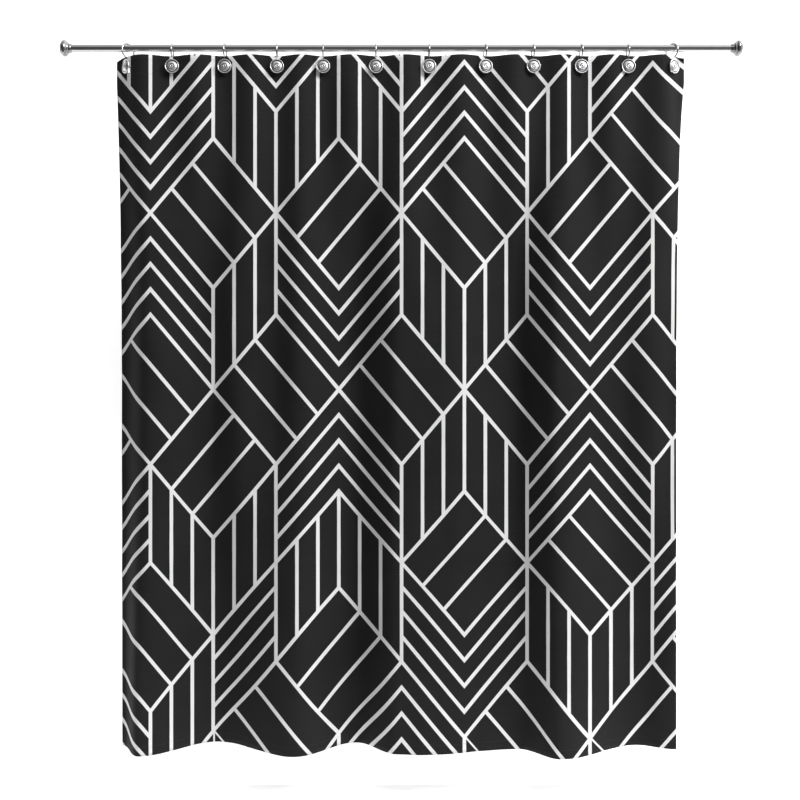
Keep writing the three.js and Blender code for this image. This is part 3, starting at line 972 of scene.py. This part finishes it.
def bump(tree, shader, height, strength, distance):
    made = node(tree, "ShaderNodeBump", [("Strength", strength), ("Distance", distance)],
                [("Height", height)])
    tree.links.new(made.outputs[0], shader.inputs["Normal"])


def lighter(colour, times):
    return tuple(min(1.0, c * times) for c in colour)


def woven_material(name, colour, ink, pitch, ink_share, cloth):
    """Woven cloth. ink_share is how much of the print shows on this side; 0 leaves it plain."""
    material, tree, shader = new_material(name, (
        ("Specular IOR Level", 0.15), ("Sheen Weight", 0.01), ("Sheen Roughness", 0.5)))
    place = node(tree, "ShaderNodeUVMap", uv_map="Weave")
    weave = use_group(tree, "woven_threads", [("Thread Pitch", pitch)],
                      [("Place", place.outputs[0])])
    dyed = mix_colour(tree, weave.outputs["Tone"], lighter(colour, 0.86), lighter(colour, 1.18))
    if ink_share:
        turns = node(tree, "ShaderNodeAttribute", attribute_name="line_turns")
        spacing = node(tree, "ShaderNodeAttribute", attribute_name="line_spacing")
        lines = use_group(tree, "drawn_lines", [
            ("Line Width", cloth.line_width), ("Wander", cloth.line_wander)], [
            ("Place", place.outputs[0]), ("Turns", turns.outputs["Vector"]),
            ("Spacing", spacing.outputs["Vector"])])
        printed = mix_colour(tree, weave.outputs["Tone"], lighter(ink, 0.965), ink)
        mask = lines.outputs["Mask"]
        if ink_share < 1:
            mask = math_node(tree, "MULTIPLY", mask, ink_share)
        dyed = mix_colour(tree, mask, dyed, printed)
    tree.links.new(dyed, shader.inputs["Base Color"])
    rough = range_node(tree, weave.outputs["Tone"], 0.0, 1.0, 0.74, 0.84, kind="LINEAR")
    tree.links.new(rough, shader.inputs["Roughness"])
    bump(tree, shader, weave.outputs["Height"], 0.35, 0.00012)
    return material


def hard_material(name, colour, low, high, metallic, strength=0.03):
    """Hard surface with a little handling: chrome, steel, nylon or rubber."""
    material, tree, shader = new_material(name, (("Metallic", metallic),))
    place = node(tree, "ShaderNodeTexCoord")
    handled = use_group(tree, "handled_surface", [("Low", low), ("High", high)],
                        [("Place", place.outputs["Object"])])
    tone = mix_colour(tree, handled.outputs["Smudge"], lighter(colour, 0.93), lighter(colour, 1.05))
    tree.links.new(tone, shader.inputs["Base Color"])
    tree.links.new(handled.outputs["Roughness"], shader.inputs["Roughness"])
    bump(tree, shader, handled.outputs["Height"], strength, 0.0002)
    return material


# Where painted shade darkens a medallion's grooves and middle dimple, as shares of its radius:
# (middle of the ring, half width).
GROOVE_SHADE_RINGS = ((0.775, 0.085), (0.30, 0.055), (0.0, 0.11))


def groove_shaded_plate(name, colour, dark):
    """Bright plate with painted shade darkening the medallion's grooves and middle dimple."""
    material = hard_material(name, colour, 0.34, 0.42, 1.0)
    tree = material.node_tree
    shader = tree.nodes["Principled BSDF"]
    plain = shader.inputs["Base Color"].links[0].from_socket
    place = node(tree, "ShaderNodeUVMap", uv_map="Ring")
    apart = node(tree, "ShaderNodeSeparateXYZ", links=[(0, place.outputs[0])])
    deepest = None
    for radius, reach in GROOVE_SHADE_RINGS:
        away = math_node(tree, "ABSOLUTE", math_node(tree, "SUBTRACT", apart.outputs[0], radius))
        groove = range_node(tree, away, reach * 0.4, reach, 1.0, 0.0)
        deepest = math_node(tree, "MAXIMUM", deepest, groove) if deepest else groove
    # painted shade mixed into the plate's colour in the grooves and the dimple
    tone = mix_colour(tree, deepest, (0, 0, 0), dark)
    tree.links.new(plain, tone.node.inputs[6])
    tree.links.new(tone, shader.inputs["Base Color"])
    return material


def thread_material(name, colour):
    """Twisted sewing thread."""
    material, tree, shader = new_material(name, (("Sheen Weight", 0.1),))
    place = node(tree, "ShaderNodeTexCoord")
    twist = node(tree, "ShaderNodeTexNoise", [("Scale", 2600.0), ("Detail", 1.0)],
                 [("Vector", place.outputs["Object"])])
    tone = mix_colour(tree, twist.outputs["Fac"], lighter(colour, 0.7), lighter(colour, 1.6))
    tree.links.new(tone, shader.inputs["Base Color"])
    rough = range_node(tree, twist.outputs["Fac"], 0.3, 0.7, 0.55, 0.75, kind="LINEAR")
    tree.links.new(rough, shader.inputs["Roughness"])
    bump(tree, shader, twist.outputs["Fac"], 0.3, 0.0001)
    return material


def finish_for(name, scene):
    """The finish of that name, made the first time it is asked for."""
    found = bpy.data.materials.get(name)
    if found:
        return found
    if "woven_threads" not in bpy.data.node_groups:
        woven_threads()
        drawn_lines()
        handled_surface()
    colours, cloth = scene.curtain_finishes, scene.curtain_cloth
    ink = tuple(colours.ink)
    makers = {
        "printed_face": lambda: woven_material(
            name, tuple(colours.cloth), ink, 0.00055, 1.0, cloth),
        "cloth_back": lambda: woven_material(
            name, tuple(colours.cloth_back), ink, 0.00055, 0.10, cloth),
        "woven_tape": lambda: woven_material(name, tuple(colours.tape), ink, 0.0011, 0, cloth),
        "sewing_thread": lambda: thread_material(name, tuple(colours.thread)),
        "chrome_plate": lambda: hard_material(name, tuple(colours.chrome), 0.06, 0.13, 1.0),
        # flanges and collars: chrome darkened to two thirds, painted shade standing in for their
        # darker reflections
        "end_plate": lambda: hard_material(name, lighter(colours.chrome, 0.66), 0.12, 0.20, 1.0),
        "plated_wire": lambda: hard_material(name, tuple(colours.chrome), 0.14, 0.24, 1.0),
        # medallions: brightened chrome with painted shade in their grooves and dimple
        "medallion_plate": lambda: groove_shaded_plate(
            name, lighter(colours.chrome, 1.6), tuple(colours.groove_shade)),
        "turned_steel": lambda: hard_material(name, tuple(colours.steel), 0.28, 0.45, 1.0, 0.2),
        "moulded_nylon": lambda: hard_material(name, tuple(colours.nylon), 0.45, 0.6, 0.0, 0.1),
        "moulded_rubber": lambda: hard_material(name, tuple(colours.rubber), 0.7, 0.9, 0.0, 0.25),
    }
    return makers[name]()


def wear(obj, *names):
    """Gives an object's mesh its finishes."""
    for name in names:
        obj.data.materials.append(finish_for(name, bpy.context.scene))


def wear_node(name, finish):
    """Gives a frame node its finish."""
    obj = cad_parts[name]
    material = finish_for(finish, bpy.context.scene)
    if not obj.material_slots:
        obj.data.materials.append(material)
    for slot in obj.material_slots:
        slot.material = material


def hang(obj):
    """Lets a soft piece follow the curtain: it swings with it, and has a mesh of its own."""
    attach(obj, "curtain")
    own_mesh(obj)


def hook_body(k):
    return "curtain" if k == 0 else f"hook_{k + 1:02d}"


# ---------------------------------------------------------------- operators
class HangCloth(bpy.types.Operator):
    """Cuts, prints, hems and hangs the cloth"""

    bl_idname = "shower_curtain.hang_cloth"
    bl_label = "Hang Cloth"

    def execute(self, context):
        cloth, seams = context.scene.curtain_cloth, context.scene.curtain_seams
        columns = [0.0, cloth.width, cloth.side_hem, cloth.side_hem + HEM_STEP]
        columns += [cloth.width - cloth.side_hem, cloth.width - cloth.side_hem - HEM_STEP]
        hem_line = CLOTH_DROP - cloth.bottom_hem
        rows = [0.0, CLOTH_DROP, hem_line, hem_line - HEM_STEP]
        panel = flat_grid(stops(columns, cloth.column_step), stops(rows, cloth.row_step))
        cut_buttonholes(panel, cloth, seams, context.scene.curtain_hooks)
        lay_print(cloth, panel)
        self.cut_tiles(panel, cloth)
        half = cloth.thickness / 2

        def back_at(u, drop):
            edge = np.minimum(u, cloth.width - u)
            side = 1 - np.clip((edge - cloth.side_hem) / HEM_STEP, 0, 1)
            low = 1 - np.clip((hem_line - drop) / HEM_STEP, 0, 1)
            return half + HEM_LAYER * np.maximum(side, low)

        mesh = two_sided("printed_curtain", cloth, panel, -half, half, back_at, printed=True)
        panel.free()
        curtain = add_object("printed_curtain", mesh)
        wear(curtain, "printed_face", "cloth_back")
        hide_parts("curtain_cloth")
        hang(curtain)
        return {"FINISHED"}

    def cut_tiles(self, panel, cloth):
        """Cuts the panel along the tiles' edges, so that no face lies in two tiles."""
        reach, close_enough = 0.02, 1e-6
        for number in range(1, len(PRINT_STRIPS)):
            start = strip_edges(cloth, number)[0]
            near = [f for f in panel.faces if abs(f.calc_center_median().x - start) < reach]
            slice_faces(panel, near, (start, 0, 0), (1, 0, 0))
        strips = [[] for _ in PRINT_STRIPS]
        for face in panel.faces:
            strips[strip_at(cloth, face.calc_center_median().x)].append(face)
        for number, faces in enumerate(strips):
            start, end = strip_edges(cloth, number)
            for _, _, left, right in strip_tiles(cloth, number)[1:]:
                low, high = min(left, right), max(left, right)
                near, others = [], []
                for face in faces:
                    down = [-v.co.y for v in face.verts]
                    close = max(down) >= low - close_enough and min(down) <= high + close_enough
                    (near if close else others).append(face)
                if near:
                    normal = Vector((right - left, end - start, 0)).normalized()
                    near = slice_faces(panel, near, (start, -left, 0), normal)
                faces = others + near


class SewHeaderTape(bpy.types.Operator):
    """Lays the woven tape behind the header, with its own buttonholes"""

    bl_idname = "shower_curtain.sew_header_tape"
    bl_label = "Sew Header Tape"

    def execute(self, context):
        cloth = context.scene.curtain_cloth
        low = cloth.tape_margin + cloth.tape_height
        inset = 0.001
        row_step = 0.008
        rows = stops([cloth.tape_margin, low], row_step)
        panel = flat_grid(stops([inset, cloth.width - inset], cloth.column_step), rows)
        cut_buttonholes(panel, cloth, context.scene.curtain_seams, context.scene.curtain_hooks)
        mesh = two_sided("sewn_header_tape", cloth, panel, TAPE_FRONT,
                         TAPE_FRONT + cloth.tape_thickness)
        panel.free()
        tape = add_object("sewn_header_tape", mesh)
        wear(tape, "woven_tape", "woven_tape")
        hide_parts("header_tape")
        hang(tape)
        return {"FINISHED"}


class SewSeams(bpy.types.Operator):
    """Sews the hems, the header tape and the buttonholes"""

    bl_idname = "shower_curtain.sew_seams"
    bl_label = "Sew Seams"

    IN_HEM = 0.002  # hem's inner edge to its stitches
    IN_TAPE = 0.003  # tape's edge to its stitches
    UPRIGHT_ENDS = 0.004  # cloth's edge to the end of a seam
    LEVEL_ENDS = 0.003

    def execute(self, context):
        cloth, seams = context.scene.curtain_cloth, context.scene.curtain_seams
        tree = stitch_tree()
        material = finish_for("sewing_thread", context.scene)
        front = -cloth.thickness / 2
        hem_back = cloth.thickness / 2 + HEM_LAYER
        tape_back = TAPE_FRONT + cloth.tape_thickness
        paths = []
        inset = cloth.side_hem - self.IN_HEM
        for u in (inset, cloth.width - inset):
            for offset in (front, hem_back):
                paths.append(self.upright(cloth, u, offset))
        level = CLOTH_DROP - cloth.bottom_hem + self.IN_HEM
        for offset in (front, hem_back):
            paths.append(self.level(cloth, level, offset))
        tape_end = cloth.tape_margin + cloth.tape_height
        for drop in (cloth.tape_margin + self.IN_TAPE, tape_end - self.IN_TAPE):
            for offset in (front, tape_back):
                paths.append(self.level(cloth, drop, offset))
        values = {"Pitch": seams.pitch, "Stitch Length": seams.stitch, "Thread": seams.thread,
                  "Across": False, "Material": material}
        self.place(grow("hem_stitches", paths, tree, values), "hem_stitches")

        loops = []
        top = hole_top(context.scene.curtain_hooks)
        for k in range(HOOK_COUNT):
            for offset in (front, tape_back):
                loops.append(self.round_hole(cloth, seams, hook_u(k, cloth), top, offset))
        values.update({"Pitch": seams.hole_pitch, "Stitch Length": seams.hole_stitch,
                       "Across": True})
        self.place(grow("buttonhole_stitches", loops, tree, values), "buttonhole_stitches")
        return {"FINISHED"}

    def upright(self, cloth, u, offset):
        drop = np.linspace(self.UPRIGHT_ENDS, CLOTH_DROP - self.UPRIGHT_ENDS, 200)
        return off_cloth(cloth, np.full_like(drop, u), drop, np.full_like(drop, offset))

    def level(self, cloth, drop, offset):
        u = np.linspace(self.LEVEL_ENDS, cloth.width - self.LEVEL_ENDS, 600)
        return off_cloth(cloth, u, np.full_like(u, drop), np.full_like(u, offset))

    def round_hole(self, cloth, seams, u, top, offset):
        """Path round a buttonhole, just outside its edge."""
        reach = seams.hole_width / 2 + seams.hole_stitch * 0.45
        tall = seams.hole_height / 2 + seams.hole_stitch * 0.45
        angle = np.linspace(0, 2 * np.pi, 61)
        across = np.sign(np.cos(angle)) * np.abs(np.cos(angle)) ** 0.5 * reach
        down = np.sign(np.sin(angle)) * np.abs(np.sin(angle)) ** 0.5 * tall
        return off_cloth(cloth, u + across, top + seams.hole_height / 2 + down,
                         np.full_like(angle, offset))

    def place(self, mesh, name):
        sewn = add_object(name, mesh)
        hang(sewn)


class BendHookWires(bpy.types.Operator):
    """Bends the twelve hook wires over the rod"""

    bl_idname = "shower_curtain.bend_hook_wires"
    bl_label = "Bend Hook Wires"

    def execute(self, context):
        hooks = context.scene.curtain_hooks
        tree = wire_tree()
        material = finish_for("plated_wire", context.scene)
        for k in range(HOOK_COUNT):
            name = f"bent_wire_{k + 1:02d}"
            mesh = grow(name, [self.centre_line(context.scene, k)], tree, {
                "Radius": hooks.wire, "Bead Radius": hooks.bead, "Length Step": 0.0018,
                "Material": material})
            place = Matrix.Translation((hook_x(k, context.scene.curtain_cloth), 0, 0))
            mesh.transform(place @ Matrix.Rotation(math.radians(HOOK_TURNS[k]), 4, "Z"))
            wire = add_object(name, mesh)
            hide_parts(f"hook_wire_{k + 1:02d}")
            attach(wire, hook_body(k))
        return {"FINISHED"}

    def centre_line(self, scene, k):
        """From the medallion back through the buttonhole, up behind the rod and over it."""
        hooks, rod = scene.curtain_hooks, scene.curtain_rod
        seat = rod.tube + rod.gap + hooks.wire
        centre = seat - hooks.loop
        turned = math.radians(FIRST_MEDALLION_TURN) if k == 0 else 0
        start = -hooks.standoff + rod.gap + hooks.wire * math.tan(abs(turned))
        bend = 0.005
        corner = []
        for n in range(9):
            angle = math.pi / 2 * n / 8
            corner.append((0, hooks.loop - bend + bend * math.sin(angle),
                           -hooks.stem + bend - bend * math.cos(angle)))
        arc = []
        steps = 40
        for n in range(steps + 1):
            angle = (math.pi + hooks.tip_curl) * n / steps
            arc.append((0, hooks.loop * math.cos(angle), centre + hooks.loop * math.sin(angle)))
        return [(0, start, -hooks.stem), *corner, *arc]


class CastMedallions(bpy.types.Operator):
    """Casts the twelve fluted medallions on the hooks"""

    bl_idname = "shower_curtain.cast_medallions"
    bl_label = "Cast Medallions"

    # Share of the radius and of the depth, from the back's centre round to the middle dimple.
    PROFILE = (
        (0, 0), (0.5, 0), (0.90, 0), (0.955, 0.035), (0.99, 0.13), (1.0, 0.27), (0.993, 0.42),
        (0.965, 0.55), (0.92, 0.60), (0.875, 0.55), (0.84, 0.43), (0.81, 0.35), (0.77, 0.33),
        (0.735, 0.37), (0.70, 0.48), (0.65, 0.60), (0.59, 0.70), (0.52, 0.78), (0.45, 0.84),
        (0.39, 0.87), (0.345, 0.86), (0.315, 0.80), (0.29, 0.79), (0.265, 0.84), (0.24, 0.93),
        (0.205, 0.985), (0.165, 1.0), (0.13, 0.98), (0.10, 0.92), (0.06, 0.85), (0, 0.82),
    )

    def execute(self, context):
        hooks = context.scene.curtain_hooks
        profile = [(r * hooks.medallion, h * hooks.depth) for r, h in self.PROFILE]
        inner, outer = 0.34 * hooks.medallion, 0.74 * hooks.medallion

        def flute(r, angle):
            if not inner < r < outer:
                return 0.0
            along = (r - inner) / (outer - inner)
            return hooks.flute * math.sin(math.pi * along) * math.cos(
                hooks.flutes * (angle + 0.9 * along))

        for k in range(HOOK_COUNT):
            name = f"cast_medallion_{k + 1:02d}"
            mesh = turned_mesh(name, profile, 90, flute)
            corner_map(mesh, "Ring", self.ring_places(mesh, hooks.medallion))
            turn = HOOK_TURNS[k] + (FIRST_MEDALLION_TURN if k == 0 else 0)
            about = Matrix.Rotation(math.radians(HOOK_TURNS[k]), 4, "Z")
            spin = Matrix.Rotation(math.radians(turn), 4, "Z") @ Matrix.Rotation(math.pi, 4, "X")
            centre = about @ Vector((0, -hooks.standoff, -hooks.stem))
            centre.x += hook_x(k, context.scene.curtain_cloth)
            mesh.transform(Matrix.Translation(centre) @ spin)
            medallion = add_object(name, mesh)
            wear(medallion, "medallion_plate")
            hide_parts(f"hook_medallion_{k + 1:02d}")
            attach(medallion, hook_body(k))
        return {"FINISHED"}


    def ring_places(self, mesh, radius):
        """Each corner's distance from the middle, and which way it lies."""
        found = []
        for corner in mesh.loops:
            x, _, z = mesh.vertices[corner.vertex_index].co
            found.append((math.hypot(x, z) / radius, math.atan2(z, x) / (2 * math.pi)))
        return found


class DrawRod(bpy.types.Operator):
    """Draws the chrome tube and turns its flanges and collars"""

    bl_idname = "shower_curtain.draw_rod"
    bl_label = "Draw Rod"

    def execute(self, context):
        rod = context.scene.curtain_rod
        low, high = TUBE_BOX[0].x, TUBE_BOX[1].x
        rim = 0.00025
        near = 0.003
        tube = rounded([(rod.bore, low), (rod.tube, low), (rod.tube, low + near),
                        (rod.tube, high - near), (rod.tube, high), (rod.bore, high),
                        (rod.bore, high - near), (rod.bore, low + near), (rod.bore, low)], rim, 3)
        self.place("chrome_tube", tube, "rod", "chrome_plate", "rod_tube")
        for side, body in (("left", "rod"), ("right", "right_end")):
            # the flanges and collars wear chrome darkened with painted shade
            self.place(f"{side}_chrome_flange", self.flange(rod), body, "end_plate",
                       f"{side}_flange", side == "right")
            self.place(f"{side}_chrome_collar", self.collar(rod), body, "end_plate",
                       f"{side}_collar", side == "right")
        return {"FINISHED"}

    def flange(self, rod):
        back, front = FLANGE_BOX[0].x, FLANGE_BOX[1].x
        tall, bore, full = front - back, rod.tube + rod.gap, rod.flange
        outline = [
            (0, back), (0.62 * full, back), (full - 0.0034, back + 0.04 * tall),
            (full - 0.0012, back + 0.17 * tall), (full, back + 0.325 * tall),
            (full - 0.0005, back + 0.52 * tall), (full - 0.0032, back + 0.68 * tall),
            (full - 0.0062, back + 0.77 * tall), (full - 0.0064, back + 0.80 * tall),
            (rod.nose + 0.0022, back + 0.88 * tall), (rod.nose, front - 0.0002),
            (bore, front), (bore, front - rod.socket), (0, front - rod.socket),
        ]
        return rounded(outline, 0.0012, 4)

    def collar(self, rod):
        low, high = COLLAR_BOX[0].x, COLLAR_BOX[1].x
        tall, inner, outer = high - low, rod.tube + rod.gap, rod.collar
        outline = [
            (inner, low), (outer, low), (outer, low + 0.35 * tall),
            (outer - 0.0012, low + 0.5 * tall), (outer, low + 0.65 * tall),
            (outer - 0.0015, high), (inner, high), (inner, low),
        ]
        return rounded(outline, 0.0005, 3)

    def place(self, name, profile, body, finish, node_name, mirrored=False):
        mesh = turned_mesh(name, profile, 96)
        if mirrored:
            facing_left = Matrix.Rotation(math.pi / 2, 4, "Z")
            mesh.transform(Matrix.Translation((ROD_END, 0, 0)) @ facing_left)
        else:
            mesh.transform(Matrix.Rotation(-math.pi / 2, 4, "Z"))
        piece = add_object(name, mesh)
        wear(piece, finish)
        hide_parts(node_name)
        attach(piece, body)


class FinishJack(bpy.types.Operator):
    """Gives the screw jack and the wall pads their finishes"""

    bl_idname = "shower_curtain.finish_jack"
    bl_label = "Finish Jack and Pads"

    def execute(self, context):
        wear_node("jack_nut", "moulded_nylon")
        wear_node("jack_spindle", "turned_steel")
        wear_node("left_wall_pad", "moulded_rubber")
        wear_node("right_wall_pad", "moulded_rubber")
        return {"FINISHED"}


class SetStage(bpy.types.Operator):
    """Lays the floor and backdrop, and sets the soft light and the camera"""

    bl_idname = "shower_curtain.set_stage"
    bl_label = "Set Stage"

    def execute(self, context):
        scene, stage = context.scene, context.scene.curtain_stage
        middle = stage.aside
        floor = -stage.floor_drop
        reach, near = 9.0, 0.7
        ground = mesh_of("stage_floor", [
            (middle - reach, -near, floor), (middle + reach, -near, floor),
            (middle + reach, reach, floor), (middle - reach, reach, floor)], [(0, 1, 2, 3)])
        points, faces = [], []
        cove, tall, lift = 0.5, 3.5, 0.001
        line = [(stage.wall - cove + cove * math.sin(a), floor + lift + cove - cove * math.cos(a))
                for a in np.linspace(0, math.pi / 2, 24)]
        line.append((stage.wall, tall))
        for y, z in line:
            points += [(middle - reach, y, z), (middle + reach, y, z)]
        for k in range(len(line) - 1):
            faces.append((2 * k, 2 * k + 1, 2 * k + 3, 2 * k + 2))
        backdrop = mesh_of("stage_backdrop", points, faces)
        for name, mesh, one_sided, glow in (("stage_floor", ground, False, 0.25),
                                            ("stage_backdrop", backdrop, True, 0.60)):
            obj = add_object(name, mesh)
            obj.data.materials.append(self.paper(name + "_paper", one_sided, glow))
        self.light(scene)
        self.surround(scene)
        camera = bpy.data.cameras.new("camera")
        camera.lens = stage.lens
        camera.sensor_width = 36
        eye = bpy.data.objects.new("camera", camera)
        eye.location = (middle, -stage.distance, stage.eye)
        eye.rotation_euler = (math.pi / 2, 0, 0)
        scene.collection.objects.link(eye)
        scene.camera = eye
        scene.view_settings.view_transform = "Standard"
        return {"FINISHED"}

    def paper(self, name, one_sided, glow):
        """Plain pale paper, open to whoever looks from behind it if it is one-sided."""
        colour = tuple(bpy.context.scene.curtain_finishes.stage)
        material, tree, shader = new_material(name, (
            ("Roughness", 0.9), ("Specular IOR Level", 0.1),
            ("Emission Color", (1.0, 1.0, 1.0, 1.0)), ("Emission Strength", glow)))
        grain = node(tree, "ShaderNodeTexNoise", [("Scale", 3.0)])
        place = node(tree, "ShaderNodeTexCoord")
        tree.links.new(place.outputs["Object"], grain.inputs["Vector"])
        tone = mix_colour(tree, grain.outputs["Fac"], lighter(colour, 0.995), colour)
        tree.links.new(tone, shader.inputs["Base Color"])
        if one_sided:
            output = tree.nodes["Material Output"]
            facing = node(tree, "ShaderNodeNewGeometry")
            clear = node(tree, "ShaderNodeBsdfTransparent")
            either = node(tree, "ShaderNodeMixShader", [], [
                (0, facing.outputs["Backfacing"]), (1, shader.outputs[0]), (2, clear.outputs[0])])
            tree.links.new(either.outputs[0], output.inputs["Surface"])
        return material

    def light(self, scene):
        stage = scene.curtain_stage
        target = Vector((stage.aside, 0, stage.eye))
        for name, power, place, size, mirrored in (
            ("key_light", stage.key, (4.0, -2.4, 2.0), 1.6, True),
            ("front_light", stage.front, (1.6, -3.6, 2.6), 2.6, False),
        ):
            lamp = bpy.data.lights.new(name, "AREA")
            lamp.shape = "DISK"
            lamp.size = size
            lamp.energy = power
            obj = bpy.data.objects.new(name, lamp)
            obj.location = place
            obj.visible_glossy = mirrored
            obj.rotation_euler = (target - obj.location).to_track_quat("-Z", "Y").to_euler()
            scene.collection.objects.link(obj)

    def surround(self, scene):
        """Pale studio all round: brighter to the right, and darker in front for the chrome."""
        world = bpy.data.worlds.new("studio")
        world.use_nodes = True
        scene.world = world
        tree = world.node_tree
        shader = tree.nodes["Background"]
        shader.inputs["Color"].default_value = (1.0, 1.0, 1.0, 1.0)
        place = node(tree, "ShaderNodeTexCoord")
        way = node(tree, "ShaderNodeSeparateXYZ", links=[(0, place.outputs["Generated"])])
        right = range_node(tree, way.outputs["X"], -0.9, 0.9, 0.20, 1.35)
        under = range_node(tree, way.outputs["Z"], -0.86, -0.66, 0.60, 0.26)
        over = range_node(tree, way.outputs["Z"], 0.34, 0.56, 0.0, 1.5)
        band = math_node(tree, "MAXIMUM", under, over)
        behind = range_node(tree, way.outputs["Y"], -0.5, -0.1, 0.0, 1.0)
        band = math_node(tree, "MAXIMUM", band, behind)
        lit = math_node(tree, "MULTIPLY", math_node(tree, "MULTIPLY", right, band),
                        scene.curtain_stage.sky)
        seen = node(tree, "ShaderNodeLightPath")
        shown = node(tree, "ShaderNodeMix", [(3, 0.93)], [
            (0, seen.outputs["Is Camera Ray"]), (2, lit)], data_type="FLOAT")
        tree.links.new(shown.outputs[0], shader.inputs["Strength"])


class CurtainPanel(bpy.types.Panel):
    """Lists the curtain's pieces in the 3D view's sidebar"""

    bl_idname = "VIEW3D_PT_shower_curtain"
    bl_label = "Shower Curtain"
    bl_space_type = "VIEW_3D"
    bl_region_type = "UI"
    bl_category = "Curtain"

    def draw(self, context):
        layout, scene = self.layout, context.scene
        for title, group in GROUPS.items():
            box = layout.box()
            box.label(text=title.replace("_", " ").capitalize())
            settings = getattr(scene, title)
            for key in group.__annotations__:
                box.prop(settings, key)
        for operator in OPERATORS:
            layout.operator(operator.bl_idname)


GROUPS = {
    "curtain_cloth": ClothSizes,
    "curtain_seams": SeamSizes,
    "curtain_hooks": HookSizes,
    "curtain_rod": RodSizes,
    "curtain_finishes": Finishes,
    "curtain_stage": StageSettings,
}
OPERATORS = (DrawRod, FinishJack, BendHookWires, CastMedallions, HangCloth, SewHeaderTape,
             SewSeams, SetStage)


def register():
    for title, group in GROUPS.items():
        bpy.utils.register_class(group)
        setattr(bpy.types.Scene, title, PointerProperty(type=group))
    for operator in OPERATORS:
        bpy.utils.register_class(operator)
    bpy.utils.register_class(CurtainPanel)


def unregister():
    bpy.utils.unregister_class(CurtainPanel)
    for operator in reversed(OPERATORS):
        bpy.utils.unregister_class(operator)
    for title, group in reversed(GROUPS.items()):
        delattr(bpy.types.Scene, title)
        bpy.utils.unregister_class(group)


def main():
    register()
    bpy.ops.shower_curtain.draw_rod()
    bpy.ops.shower_curtain.finish_jack()
    bpy.ops.shower_curtain.bend_hook_wires()
    bpy.ops.shower_curtain.cast_medallions()
    bpy.ops.shower_curtain.hang_cloth()
    bpy.ops.shower_curtain.sew_header_tape()
    bpy.ops.shower_curtain.sew_seams()
    bpy.ops.shower_curtain.set_stage()


if __name__ == "__main__":
    main()
